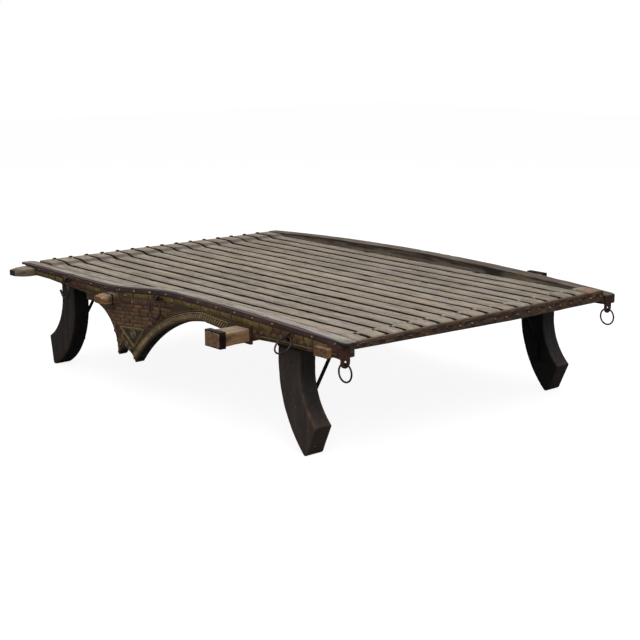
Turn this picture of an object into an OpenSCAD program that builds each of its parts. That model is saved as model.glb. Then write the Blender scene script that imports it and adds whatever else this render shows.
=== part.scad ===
// Low table made from the bed of a bullock cart: slatted deck, bowed side
// rails with hanging carved brackets, through bearers, iron fittings and
// four sabre legs. +X runs towards the studded end beam and +Z is up. The
// lengths along X below are taken from the middle of the four legs; frame_x
// then moves the whole table so that the origin is on the floor under the
// middle of its overall box.

/* [Deck] */
// Number of deck slats, side by side across the bed
slat_count = 16; // [12:1:20]
// Width of the slatted field between the side rails
deck_w = 1230; // [1100:1:1300]
// Gap between neighbouring slats
slat_gap = 5; // [3:0.5:8]
// Thickness of a slat
slat_t = 12; // [10:1:14]
// Height of the deck's walking surface
deck_top = 398; // [394:1:400]
// Rear end of the slats
deck_x0 = -940; // [-950:1:-930]
// Front end of the slats
deck_x1 = 1008; // [1004:1:1015]
// Rise of the slats over the rear beam
lip_rear = 10; // [8:1:12]
// Rise of the slats over the front beam
lip_front = 20; // [16:1:22]

/* [Side rails] */
// Outer face of each side rail, from the middle
rail_out = 678; // [660:1:700]
// Thickness of a side rail
rail_t = 60; // [50:1:60]
// Rear end of the side rails, against the rear beam
rail_x0 = -855; // [-858:1:-852]
// Front end of the side rails
rail_x1 = 1011; // [1008:1:1015]
// Thickness of the weathered capping strip
cap_t = 8; // [6:1:10]
// Rear end of the capping strips
cap_x0 = -966; // [-975:1:-960]
// Front end of the near capping strip
cap_x1 = 1034; // [1028:1:1040]

/* [Hanging brackets] */
// Rear end of the bracket board
brk_x0 = -455; // [-470:1:-440]
// Front end of the bracket board
brk_x1 = 455; // [440:1:465]
// Joint line between rail and bracket board
brk_top = 392; // [388:1:394]
// Radius of the large front arch
arch_r = 657; // [640:1:670]
// Middle of the large front arch, along X
arch_x = 376; // [370:1:382]
// Middle of the large front arch, along Z
arch_z = -285; // [-290:1:-280]
// Thickness of a bracket board, flush with the rail's outer face
brk_t = 41; // [38:1:46]

/* [Bearers and beams] */
// Underside of the rear end beam
beam_rear_z = 362; // [358:1:366]
// Reach of the rear beam's tapered tips, from the middle
beam_rear_y = 756; // [740:1:770]
// Underside of the front end beam
beam_front_z = 376; // [372:1:380]
// Reach of the front beam's stub, from the middle
beam_front_y = 695; // [690:1:705]
// Reach of the main bearer's stubs, from the middle
main_y = 812; // [790:1:840]
// Reach of the middle bearer's stubs, from the middle
mid_y = 748; // [730:1:755]

/* [Legs] */
// Distance of each leg's middle from the long centre line
leg_y = 600; // [590:1:602]
// Thickness of a leg across the bed
leg_t = 70; // [60:1:72]
// Top of the legs, under their bearers
leg_top = 342; // [338:1:342]
// Inner edge of a front leg at its top
leg_xa = 658; // [650:1:665]
// Outer edge of a front leg at its top
leg_xb = 770; // [765:1:775]
// Inner edge of a rear leg at its top
rear_xa = 624; // [620:1:630]
// Outer edge of a rear leg at its top
rear_xb = 718; // [712:1:724]
// Height of the toe tip above the floor
toe_z = 105; // [100:1:110]
// Diameter of the iron leg struts
strut_d = 12; // [10:1:14]

/* [Ironwork] */
// Wire diameter of rings and hooks
wire_d = 6; // [5:0.5:6]
// Middle radius of the corner rings
ring_r = 29; // [26:1:31]
// Middle radius of the side rings
side_ring_r = 31; // [27:1:33]
// Angle at which the side rings stand out from the rail, stiff in their staples
side_ring_lean = 45; // [0:5:50]
// Height of the hole in the near corner tab
tab_z_near = 358; // [356:1:359]
// Height of the hole in the far corner tab
tab_z_far = 348; // [346:1:349]
// Radius of the hole in the corner tabs
tab_hole_r = 6.5; // [6:0.5:7]

/* [Hidden] */

rail_in = rail_out - rail_t;
under = deck_top - slat_t;              // underside of the deck
beam_rear_top = deck_top + lip_rear - slat_t;
beam_front_top = deck_top + lip_front - slat_t;
beam_rear_x = [-935, rail_x0];
beam_front_x = [925, 1000];
pitch = deck_w / slat_count;
wr = wire_d / 2;

// Bearers that run right across: [x from, x to, z from, reach in y]
BEARERS = [
    [-rear_xb, -rear_xa, leg_top, rail_in],
    [-290, -225, 346, mid_y],
    [503, 578, 346, main_y],
    [leg_xa, leg_xb, leg_top, rail_in]];
MID = 1;
MAIN = 2;
stub_top = 393;                         // top of the main bearer's stubs
lip_top = 350;                          // top of the leg bearers' end lips

// Smooth step from 0 to 1
function ss(t) = let (u = min(1, max(0, t))) u * u * (3 - 2 * u);

// Top line of the near rail's cap: low at the rear, then a swell forward
function near_top(x) = 407 + 37 * ss((x + 360) / 520)
    - 19 * pow(max(0, x - 300) / 711, 1.5);
// Top line of the far rail's cap: one even bow
function far_top(x) = 433 - (x < 0 ? 30 : 35) * pow(x / 1000, 2);
function cap_top(side, x) = side < 0 ? near_top(x) : far_top(x);

// Underside of a rail, rear part and front part
function rail_low(side, x) = x < 0
    ? 352 + 20 * (brk_x0 - x) / (brk_x0 - rail_x0)
    : side > 0 ? 350 + 12 * (x - brk_x1) / (rail_x1 - brk_x1)
    : 350 + 14 * min(1, (x - brk_x1) / (690 - brk_x1))
        + 6 * max(0, (x - 690) / (rail_x1 - 690));

// Extrude an X-Z outline across Y
module across(y0, y1) {
    translate([0, y1, 0]) rotate([90, 0, 0]) linear_extrude(y1 - y0)
        children();
}
function lo(side, a, b) = side < 0 ? -b : a;
function hi(side, a, b) = side < 0 ? -a : b;

// Box given by its low and high corners
module span(a, b) { translate(a) cube(b - a); }

// The front end beam: its ends stop inside the rails, and a smaller stub
// passes the near rail a little further back
module front_beam_solid() {
    span([beam_front_x[0], -rail_in, beam_front_z],
        [beam_front_x[1], rail_in, beam_front_top]);
    span([907, -beam_front_y, 366], [972, 5 - rail_in, 397]);
}
// The main bearer: its stubs stand taller than its notched middle
module main_bearer_solid() {
    b = BEARERS[MAIN];
    span([b[0], -b[3], b[2]], [b[1], b[3], under]);
    for (s = [-1, 1])
        span([b[0], lo(s, rail_in, b[3]), b[2]],
            [b[1], hi(s, rail_in, b[3]), stub_top]);
}

// Every timber that passes through the side rails
module through_timbers() {
    b = BEARERS[MID];
    span([b[0], -b[3], b[2]], [b[1], b[3], under]);
    main_bearer_solid();
    front_beam_solid();
}

RSTEP = 28;
RX = [for (i = [0 : RSTEP])
    beam_rear_x[0] + (rail_x1 - beam_rear_x[0]) * i / RSTEP];
module rail_outline(side) {
    polygon(concat(
        [for (x = RX) [x, cap_top(side, x) - cap_t]],
        [[rail_x1, rail_low(side, rail_x1)], [690, rail_low(side, 690)],
         [brk_x1, rail_low(side, brk_x1)],
         [brk_x1, brk_top], [brk_x0, brk_top],
         [brk_x0, rail_low(side, brk_x0)], [rail_x0, rail_low(side, rail_x0)],
         [rail_x0, beam_rear_top], [beam_rear_x[0], beam_rear_top]]));
}
module rail(side) {
    color([0.20, 0.14, 0.11]) difference() {
        across(lo(side, rail_in, rail_out), hi(side, rail_in, rail_out))
            rail_outline(side);
        through_timbers();
    }
}
module rail_near() { rail(-1); }
module rail_far() { rail(1); }

// The near strip runs on past the rail's end, the far one stops with it
function cap_end(side) = side < 0 ? cap_x1 : rail_x1 + 3;
module rail_cap(side) {
    x1 = cap_end(side);
    cx = [for (i = [0 : RSTEP]) cap_x0 + (x1 - cap_x0) * i / RSTEP];
    color([0.55, 0.53, 0.49])
    across(lo(side, rail_in, rail_out + 3), hi(side, rail_in, rail_out + 3))
        polygon(concat(
            [[cap_x0, cap_top(side, cap_x0) - cap_t + 2]],
            [for (i = [0 : RSTEP]) [cx[i], cap_top(side, cx[i])]],
            [[x1, cap_top(side, x1) - cap_t]],
            [for (i = [RSTEP : -1 : 0])
                [RX[i], cap_top(side, RX[i]) - cap_t]]));
}
module rail_cap_near() { rail_cap(-1); }
module rail_cap_far() { rail_cap(1); }

// Bracket board: concave rear edge, nib, small arch, tip, large arch
module bracket_outline() {
    difference() {
        polygon([[brk_x0, brk_top], [brk_x1, brk_top], [brk_x1, 140],
            [brk_x0, 140]]);
        translate([-420, 150]) circle(r = 179, $fn = 120);
        polygon([[brk_x0 - 1, 100], [-241, 100], [-241, 150],
            [-393, 327], [brk_x0 - 1, 350]]);
        translate([-187, 118]) circle(r = 62, $fn = 72);
        // large arch, which straightens past its crown
        intersection() {
            translate([arch_x, arch_z]) circle(r = arch_r, $fn = 240);
            polygon([[-400, 0], [brk_x1 + 1, 0], [brk_x1 + 1, 357],
                [316, 368], [200, 500], [-400, 500]]);
        }
    }
    translate([-238, 161]) circle(r = 7, $fn = 24);
}
module bracket(side) {
    color([0.30, 0.23, 0.15]) difference() {
        across(lo(side, rail_out - brk_t, rail_out),
            hi(side, rail_out - brk_t, rail_out)) bracket_outline();
        through_timbers();
    }
}
module bracket_near() { bracket(-1); }
module bracket_far() { bracket(1); }

// Rear beam, with tips that taper and round off outside the rails
module beam_rear() {
    zc = (beam_rear_z + beam_rear_top) / 2;
    color([0.42, 0.38, 0.33])
    intersection() {
        span([beam_rear_x[0], -beam_rear_y, beam_rear_z],
            [beam_rear_x[1], beam_rear_y, beam_rear_top]);
        translate([0, 0, -10]) linear_extrude(600) polygon([
            [beam_rear_x[1], -rail_out], [beam_rear_x[1], rail_out],
            [beam_rear_x[1] - 22, beam_rear_y - 12],
            [beam_rear_x[1] - 34, beam_rear_y],
            [beam_rear_x[0] + 12, beam_rear_y],
            [beam_rear_x[0], beam_rear_y - 14],
            [beam_rear_x[0], 14 - beam_rear_y],
            [beam_rear_x[0] + 12, -beam_rear_y],
            [beam_rear_x[1] - 34, -beam_rear_y],
            [beam_rear_x[1] - 22, 12 - beam_rear_y]]);
        rotate([90, 0, 90]) translate([0, 0, -1200]) linear_extrude(1200)
            polygon([[-rail_out, beam_rear_z], [rail_out, beam_rear_z],
                [beam_rear_y, beam_rear_z + 14],
                [beam_rear_y, beam_rear_top - 6], [rail_out + 20, beam_rear_top],
                [-rail_out - 20, beam_rear_top],
                [-beam_rear_y, beam_rear_top - 6],
                [-beam_rear_y, beam_rear_z + 14]]);
    }
}

module beam_front() {
    color([0.45, 0.33, 0.22]) front_beam_solid();
}

// Thin dark facing on the front beam, between the rails
module front_fascia() {
    color([0.16, 0.12, 0.11])
        span([beam_front_x[1], -rail_in, beam_front_z - 2],
            [beam_front_x[1] + 6, rail_in, beam_front_top]);
}

// Leg bearers end in a low lip that fills in between the leg and the rail
module bearer(i) {
    b = BEARERS[i];
    color([0.38, 0.27, 0.18]) {
        span([b[0], -b[3], b[2]], [b[1], b[3], under]);
        if (i != MID)
            span([b[0], -leg_y - leg_t / 2, b[2]],
                [b[1], leg_y + leg_t / 2, lip_top]);
    }
}
module bearer_rear() { bearer(0); }
module bearer_middle() { bearer(MID); }
module bearer_main() {
    color([0.38, 0.27, 0.18]) main_bearer_solid();
}
module bearer_front() { bearer(3); }

// Side view of a slat: it bends up over both end beams
module slat_outline() {
    zr = deck_top + lip_rear;
    zf = deck_top + lip_front;
    polygon([
        [deck_x0, zr - slat_t], [deck_x0, zr - 3], [deck_x0 + 3, zr],
        [-846, zr], [-818, deck_top], [880, deck_top], [914, zf],
        [deck_x1 - 22, zf], [deck_x1 - 6, zf - 4], [deck_x1, zf - 10],
        [deck_x1, zf - slat_t], [925, zf - slat_t],
        [919, zf - slat_t], [885, under], [-823, under],
        [-851, zr - slat_t]]);
}
module deck_slats() {
    color([0.50, 0.46, 0.41])
    for (i = [0 : slat_count - 1]) {
        y0 = -deck_w / 2 + i * pitch;
        across(y0 + slat_gap / 2, y0 + pitch - slat_gap / 2)
            slat_outline();
    }
}

// Side view of a leg: upright top, sweeping outwards to a cut toe. The rear
// legs stand further in and sweep more. Columns: edge at the top, radius and
// height of the middle of the inner arc, then the same for the outer arc, and
// the height of the toe tip
LEG_FRONT = [leg_xa, 417.8, 300, leg_xb, 235.5, 280, toe_z];
LEG_REAR = [rear_xa, 294.5, 265, rear_xb, 210.6, 300, toe_z + 10];
function arc_in(L) = [[L[0] + L[1], L[2]], L[1]];
function arc_out(L) = [[L[3] + L[4], L[5]], L[4]];
function arc_x(arc, z) =
    arc[0][0] - sqrt(pow(arc[1], 2) - pow(arc[0][1] - z, 2));
LEG_STEPS = 16;
module leg_outline(L) {
    polygon(concat(
        [[L[0], leg_top]],
        [for (i = [0 : LEG_STEPS]) let (z = L[2] * (1 - i / LEG_STEPS))
            [arc_x(arc_in(L), z), z]],
        [[arc_x(arc_in(L), 0) + 16, 0]],
        [for (i = [0 : LEG_STEPS]) let (z = L[6] + (L[5] - L[6]) * i / LEG_STEPS)
            [arc_x(arc_out(L), z), z]],
        [[L[3], leg_top]]));
}
module leg(front, side) {
    color([0.11, 0.09, 0.08]) mirror([front < 0 ? 1 : 0, 0, 0])
        across(side * leg_y - leg_t / 2, side * leg_y + leg_t / 2)
            leg_outline(front < 0 ? LEG_REAR : LEG_FRONT);
}
module leg_front_near() { leg(1, -1); }
module leg_front_far() { leg(1, 1); }
module leg_rear_near() { leg(-1, -1); }
module leg_rear_far() { leg(-1, 1); }

// Iron strut: flat foot on the leg's inner face, then a rod up to the bearer
STRUT_X = [690, 748];                   // rear and front legs
strut_pad = 8;
strut_knee = [leg_y - leg_t / 2 - strut_pad - strut_d / 2 + 5, 188];
strut_head = [462, leg_top - strut_pad + 4];
module rod_yz(a, b, d) {
    v = b - a;
    translate([0, a[0], a[1]]) rotate([-atan2(v[0], v[1]), 0, 0])
        cylinder(h = norm(v), d = d, $fn = 32);
}
module strut(front, side) {
    color([0.10, 0.09, 0.09])
    mirror([front < 0 ? 1 : 0, 0, 0]) mirror([0, side < 0 ? 1 : 0, 0]) {
        x = STRUT_X[front < 0 ? 0 : 1];
        translate([x, 0, 0]) {
            rod_yz([strut_knee[0], 128], strut_knee, strut_d);
            translate([0, strut_knee[0], strut_knee[1]])
                sphere(d = strut_d + 1.5, $fn = 32);
            rod_yz(strut_knee, strut_head, strut_d);
        }
        span([x - 11, leg_y - leg_t / 2 - strut_pad, 112],
            [x + 11, leg_y - leg_t / 2, 156]);
        span([x - 12, 430, leg_top - strut_pad],
            [x + 12, 486, leg_top]);
    }
}
module strut_front_near() { strut(1, -1); }
module strut_front_far() { strut(1, 1); }
module strut_rear_near() { strut(-1, -1); }
module strut_rear_far() { strut(-1, 1); }

// Iron frame around a rectangular timber: from y0 to y1, g thick
module frame_round(b, y0, y1, g) {
    difference() {
        span([b[0] - g, y0, b[2] - g], [b[1] + g, y1, stub_top + g]);
        span([b[0], y0 - 1, b[2]], [b[1], y1 + 1, stub_top]);
    }
}
module bearer_collars() {
    b = BEARERS[MAIN];
    color([0.15, 0.11, 0.10]) for (s = [-1, 1])
        frame_round(b, lo(s, rail_out, rail_out + 10),
            hi(s, rail_out, rail_out + 10), 6);
}
module bearer_bands() {
    b = BEARERS[MAIN];
    color([0.14, 0.11, 0.11]) for (s = [-1, 1])
        frame_round(b, lo(s, main_y - 26, main_y - 3),
            hi(s, main_y - 26, main_y - 3), 4);
}

// Corner strap: a plate on the rail's end that drops into an eye tab.
// The near one also wraps round onto the rail's outer face.
// Columns: y of the tab's middle, z of its hole, top of the plate
STRAP_NEAR = [659, tab_z_near, 404];
STRAP_FAR = [632, tab_z_far, 386];
strap_t = 5;
tab_r = 18;
function strap_of(side) = side < 0 ? STRAP_NEAR : STRAP_FAR;
module corner_strap(side) {
    t = strap_of(side);
    low = rail_low(side, rail_x1);
    color([0.17, 0.10, 0.09])
    mirror([0, side < 0 ? 1 : 0, 0]) difference() {
        union() {
            span([rail_x1, t[0] - tab_r, t[1]],
                [rail_x1 + strap_t, t[0] + tab_r, t[2]]);
            translate([rail_x1, t[0], t[1]]) rotate([0, 90, 0])
                cylinder(h = strap_t, r = tab_r, $fn = 64);
            if (side < 0) {
                span([rail_x1, t[0], low + 1],
                    [rail_x1 + strap_t, rail_out + 4, t[2]]);
                span([rail_x1 - 10.5, rail_out, low + 2],
                    [rail_x1 + strap_t, rail_out + 4, t[2]]);
            }
        }
        translate([rail_x1 - 1, t[0], t[1]]) rotate([0, 90, 0])
            cylinder(h = strap_t + 2, r = tab_hole_r, $fn = 48);
    }
}
module corner_strap_near() { corner_strap(-1); }
module corner_strap_far() { corner_strap(1); }

// A ring in the X-Z plane
module ring_xz(r, w) {
    rotate([90, 0, 0]) rotate_extrude($fn = 64) translate([r, 0])
        circle(r = w, $fn = 24);
}
module corner_ring(side) {
    t = strap_of(side);
    color([0.13, 0.09, 0.08])
    translate([rail_x1 + strap_t / 2, side * t[0],
            t[1] - tab_hole_r + wr + 0.4 - ring_r])
        ring_xz(ring_r, wr);
}
module corner_ring_near() { corner_ring(-1); }
module corner_ring_far() { corner_ring(1); }

// Side fittings, the same on both sides. Columns: x and z of the pin
HOOK_REAR = [-579, 387];
HOOK_MIDDLE = [55, 413];
RING_FRONT = [776, 398];
RING_FRONT_FAR = [776, 388];

// Hooks hang from a bar that stands off the rail on two legs.
// Columns: wire radius, bend radius, middle of the bend below and behind
// the pin [x, z], angle where the bend ends, length of the tip
REAR_SHAPE = [4.5, 27, [-11, -47], -142, 20];
MIDDLE_SHAPE = [3.5, 33, [-17, -45], -176, 10];
bar_r = 3;
bar_off = 14;                           // bar's middle from the rail's face
bar_y = rail_out + bar_off;
// Bar's reach behind and in front of the pin
BAR_REAR = [-12, 12];
BAR_MIDDLE = [-34, 12];
module bar_staple(pin, reach, side) {
    translate([pin[0], 0, pin[1]]) mirror([0, side < 0 ? 1 : 0, 0]) {
        translate([reach[0], bar_y, 0]) rotate([0, 90, 0])
            cylinder(h = reach[1] - reach[0], r = bar_r, $fn = 24);
        for (x = reach) {
            translate([x, rail_out, 0]) rotate([-90, 0, 0])
                cylinder(h = bar_off, r = bar_r, $fn = 24);
            translate([x, bar_y, 0]) sphere(r = bar_r, $fn = 24);
        }
    }
}
// Round staple: two legs into the rail and a bend, seen along X
staple_r = 8.5;
staple_leg = 7.5;
side_pin_y = rail_out + 8.5;
// The far rail is lower here, so its ring hangs lower too
function side_pin(side) = side < 0 ? RING_FRONT : RING_FRONT_FAR;
module round_staple(pin, side) {
    translate([pin[0], side * (rail_out + staple_leg),
            pin[1] + staple_r - 3 - wr - 0.4])
    mirror([0, side < 0 ? 1 : 0, 0]) {
        for (s = [-1, 1]) translate([0, -staple_leg, s * staple_r])
            rotate([-90, 0, 0]) cylinder(h = staple_leg, r = 3, $fn = 24);
        rotate([0, 90, 0]) rotate_extrude(angle = 180, $fn = 48)
            translate([staple_r, 0]) circle(r = 3, $fn = 24);
    }
}
module staples() {
    color([0.14, 0.11, 0.10]) for (s = [-1, 1]) {
        bar_staple(HOOK_REAR, BAR_REAR, s);
        bar_staple(HOOK_MIDDLE, BAR_MIDDLE, s);
        round_staple(side_pin(s), s);
    }
}

// Hook: an eye round the bar, a shank that runs tangent into an open bend
// towards the rear, and a raised tip
module hook_piece(pin, shape, side) {
    w = shape[0];
    r = shape[1];
    c = shape[2];
    eye = bar_r + 0.6 + w;
    run = sqrt(c * c - r * r);
    dir = atan2(c[1], c[0]) + asin(r / norm(c));
    a0 = dir + 90;
    a1 = shape[3];
    tip = c + r * [cos(a1), sin(a1)];
    tip_dir = a1 - 90;
    translate([pin[0], side * bar_y, pin[1]]) {
        rotate([0, 90, 0]) rotate_extrude($fn = 48) translate([eye, 0])
            circle(r = w, $fn = 24);
        rotate([0, 90 - dir, 0]) translate([0, 0, eye])
            cylinder(h = run - eye, r = w, $fn = 24);
        translate([c[0], 0, c[1]]) rotate([90, 0, 0])
            rotate([0, 0, a1]) rotate_extrude(angle = a0 - a1, $fn = 64)
                translate([r, 0]) circle(r = w, $fn = 24);
        for (a = [a0, a1])
            translate([c[0] + r * cos(a), 0, c[1] + r * sin(a)])
                sphere(r = w + 0.4, $fn = 24);
        translate([tip[0], 0, tip[1]]) rotate([0, 90 - tip_dir, 0]) {
            cylinder(h = shape[4], r = w, $fn = 24);
            translate([0, 0, shape[4]]) sphere(r = w + 0.5, $fn = 24);
        }
    }
}
module hook_rear_near() { color([0.14, 0.11, 0.10]) hook_piece(HOOK_REAR, REAR_SHAPE, -1); }
module hook_rear_far() { color([0.14, 0.11, 0.10]) hook_piece(HOOK_REAR, REAR_SHAPE, 1); }
module hook_middle_near() { color([0.14, 0.11, 0.10]) hook_piece(HOOK_MIDDLE, MIDDLE_SHAPE, -1); }
module hook_middle_far() { color([0.14, 0.11, 0.10]) hook_piece(HOOK_MIDDLE, MIDDLE_SHAPE, 1); }
module side_ring(side) {
    color([0.14, 0.11, 0.10])
    translate([side_pin(side)[0], side * side_pin_y, side_pin(side)[1]])
        rotate([side * side_ring_lean, 0, 0])
            translate([0, 0, -side_ring_r]) ring_xz(side_ring_r, wr);
}
module ring_front_near() { side_ring(-1); }
module ring_front_far() { side_ring(1); }

// From the legs' middle to the middle of the overall box, along X
frame_x = -(cap_x0 + rail_x1 + strap_t / 2 + ring_r + wr) / 2;
module placed() { translate([frame_x, 0, 0]) children(); }

placed() rail_near();
placed() rail_far();
placed() rail_cap_near();
placed() rail_cap_far();
placed() bracket_near();
placed() bracket_far();
placed() beam_rear();
placed() beam_front();
placed() front_fascia();
placed() bearer_rear();
placed() bearer_middle();
placed() bearer_main();
placed() bearer_front();
placed() deck_slats();
placed() leg_front_near();
placed() leg_front_far();
placed() leg_rear_near();
placed() leg_rear_far();
placed() strut_front_near();
placed() strut_front_far();
placed() strut_rear_near();
placed() strut_rear_far();
placed() bearer_collars();
placed() bearer_bands();
placed() corner_strap_near();
placed() corner_strap_far();
placed() staples();
placed() corner_ring_near();
placed() corner_ring_far();
placed() hook_rear_near();
placed() hook_middle_near();
placed() ring_front_near();
placed() hook_rear_far();
placed() hook_middle_far();
placed() ring_front_far();
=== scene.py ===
import bpy
import math
import numpy as np
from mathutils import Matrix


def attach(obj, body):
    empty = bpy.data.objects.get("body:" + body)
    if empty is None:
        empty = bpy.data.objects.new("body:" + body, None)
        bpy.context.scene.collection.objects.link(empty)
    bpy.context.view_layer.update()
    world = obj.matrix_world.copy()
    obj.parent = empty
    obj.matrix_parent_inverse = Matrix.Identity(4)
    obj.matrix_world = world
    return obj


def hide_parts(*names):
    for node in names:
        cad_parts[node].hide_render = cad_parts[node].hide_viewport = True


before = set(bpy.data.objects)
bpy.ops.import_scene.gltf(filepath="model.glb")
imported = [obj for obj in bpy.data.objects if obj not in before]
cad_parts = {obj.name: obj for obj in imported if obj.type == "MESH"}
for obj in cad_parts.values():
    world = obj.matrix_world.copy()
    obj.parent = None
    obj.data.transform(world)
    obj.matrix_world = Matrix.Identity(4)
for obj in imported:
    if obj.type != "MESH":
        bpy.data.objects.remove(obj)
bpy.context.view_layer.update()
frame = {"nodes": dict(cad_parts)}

# ---------------------------------------------------------------- numbers
# Lengths are in millimetres from the middle of the legs, as in the CAD
# source; SHIFT moves them to the model's origin on the way into a mesh.
SHIFT = -39.75
DECK_W, COUNT, GAP, SLAT_T, DECK_TOP = 1230.0, 16, 5.0, 12.0, 398.0
PITCH = DECK_W / COUNT
RAIL_OUT, RAIL_IN = 678.0, 618.0


def ss(t):
    t = np.clip(t, 0, 1)
    return t * t * (3 - 2 * t)


def near_top(x):
    x = np.asarray(x, float)
    return 407 + 37 * ss((x + 360) / 520) - 19 * (np.maximum(0, x - 300) / 711) ** 1.5


def far_top(x):
    x = np.asarray(x, float)
    return 433 - np.where(x < 0, 30, 35) * (x / 1000) ** 2


def cap_top(side, x):
    return near_top(x) if side < 0 else far_top(x)


def rail_low(side, x):
    x = np.asarray(x, float)
    front = 350 + 12 * (x - 455) / 556
    if side < 0:
        front = 350 + 14 * np.minimum(1, (x - 455) / 235) + 6 * np.maximum(0, (x - 690) / 321)
    return np.where(x < 0, 352 + 20 * (-455 - x) / 400, front)


def arch_drop(x):
    """How far the large arch runs below its circle once past the crown."""
    x = np.asarray(x, float)
    circle = -285 + np.sqrt(np.maximum(0, 657.0 ** 2 - (x - 376) ** 2))
    return np.minimum(0, np.interp(x, [200, 316, 456], [500, 368, 357]) - circle)


def bracket_low(x):
    """Lower outline of the hanging bracket board."""
    x = np.asarray(x, float)
    z = np.full_like(x, 142.0)
    a = (x > -599) & (x < -241)
    z = np.where(a, np.maximum(z, 150 + np.sqrt(np.maximum(0, 179.0 ** 2 - (x + 420) ** 2))), z)
    z = np.where((x > -393) & (x < -241), np.maximum(z, np.interp(x, [-393, -241], [327, 150])), z)
    z = np.where(x <= -393, np.maximum(z, 325), z)
    b = (x > -249) & (x < -125)
    z = np.where(b, np.maximum(z, 118 + np.sqrt(np.maximum(0, 62.0 ** 2 - (x + 187) ** 2))), z)
    arc = -285 + np.sqrt(np.maximum(0, 657.0 ** 2 - (x - 376) ** 2))
    return np.maximum(z, arc + arch_drop(x))


def srgb(r, g, b):
    c = np.array([r, g, b], float) / 255
    return np.where(c <= 0.04045, c / 12.92, ((c + 0.055) / 1.055) ** 2.4)


# ---------------------------------------------------------------- noise
def _hash(ix, iy, s):
    n = (ix.astype(np.int64) * 374761393 + iy.astype(np.int64) * 668265263
         + int(s) * 1442695041) & 0xFFFFFFFF
    n = ((n ^ (n >> 13)) * 1274126177) & 0xFFFFFFFF
    n = ((n ^ (n >> 15)) * 2246822519) & 0xFFFFFFFF
    return ((n ^ (n >> 16)) & 0xFFFFFF) / 16777215.0


def vn(x, y, s=0):
    x, y = np.broadcast_arrays(np.asarray(x, float), np.asarray(y, float))
    ix, iy = np.floor(x), np.floor(y)
    fx, fy = x - ix, y - iy
    fx, fy = fx * fx * (3 - 2 * fx), fy * fy * (3 - 2 * fy)
    a, b = _hash(ix, iy, s), _hash(ix + 1, iy, s)
    c, d = _hash(ix, iy + 1, s), _hash(ix + 1, iy + 1, s)
    return (a + (b - a) * fx) * (1 - fy) + (c + (d - c) * fx) * fy


def fbm(x, y, s=0, o=3):
    t, w, k = 0, 0, 1.0
    for i in range(o):
        t = t + k * vn(np.asarray(x) * 2 ** i, np.asarray(y) * 2 ** i, s + 17 * i)
        w += k
        k *= 0.5
    return t / w


def mix(a, b, t):
    t = np.clip(np.asarray(t, float), 0, 1)[..., None]
    return np.asarray(a) * (1 - t) + np.asarray(b) * t


# ---------------------------------------------------------------- meshes
class Mesh:
    def __init__(self):
        self.v, self.f, self.c, self.m, self.n = [], [], [], [], 0

    def add(self, v, faces, c, m=0):
        v = np.asarray(v, float).reshape(-1, 3)
        c = np.asarray(c, float)
        c = np.broadcast_to(c, (len(v), 3)) if c.ndim == 1 else c.reshape(-1, 3)
        vol = 0.0
        for f in faces:
            p = v[f]
            for k in range(1, f.shape[1] - 1):
                vol += np.einsum("ij,ij->i", p[:, 0] - v[0], np.cross(p[:, k] - v[0], p[:, k + 1] - v[0])).sum()
        for f in faces:
            self.f.append((f[:, ::-1] if vol < 0 else f) + self.n)
            self.m.append(np.full(len(f), m))
        self.v.append(v)
        self.c.append(c)
        self.n += len(v)

    def build(self, name, mats, body="root", replaces=(), smooth=38, flip=False):
        v = np.concatenate(self.v)
        c = np.concatenate(self.c)
        if flip:
            v = v * [1, -1, 1]
        v = (v + [SHIFT, 0, 0]) / 1000.0
        me = bpy.data.meshes.new(name)
        me.vertices.add(len(v))
        me.vertices.foreach_set("co", v.astype(np.float32).ravel())
        sizes = np.concatenate([np.full(len(f), f.shape[1]) for f in self.f])
        loops = np.concatenate([(f[:, ::-1] if flip else f).ravel() for f in self.f])
        me.loops.add(len(loops))
        me.loops.foreach_set("vertex_index", loops.astype(np.int32))
        me.polygons.add(len(sizes))
        start = np.concatenate([[0], np.cumsum(sizes)[:-1]])
        me.polygons.foreach_set("loop_start", start.astype(np.int32))
        me.polygons.foreach_set("material_index", np.concatenate(self.m).astype(np.int32))
        me.update(calc_edges=True)
        me.validate()
        me.polygons.foreach_set("use_smooth", np.ones(len(me.polygons), bool))
        me.set_sharp_from_angle(angle=math.radians(smooth))
        a = me.color_attributes.new("Col", "FLOAT_COLOR", "POINT")
        rgba = np.ones((len(v), 4), np.float32)
        rgba[:, :3] = np.clip(c, 0, 1)
        a.data.foreach_set("color", rgba.ravel())
        for mt in mats:
            me.materials.append(mt)
        o = bpy.data.objects.new(name, me)
        bpy.context.scene.collection.objects.link(o)
        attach(o, body)
        if replaces:
            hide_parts(*replaces)
        return o


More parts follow.
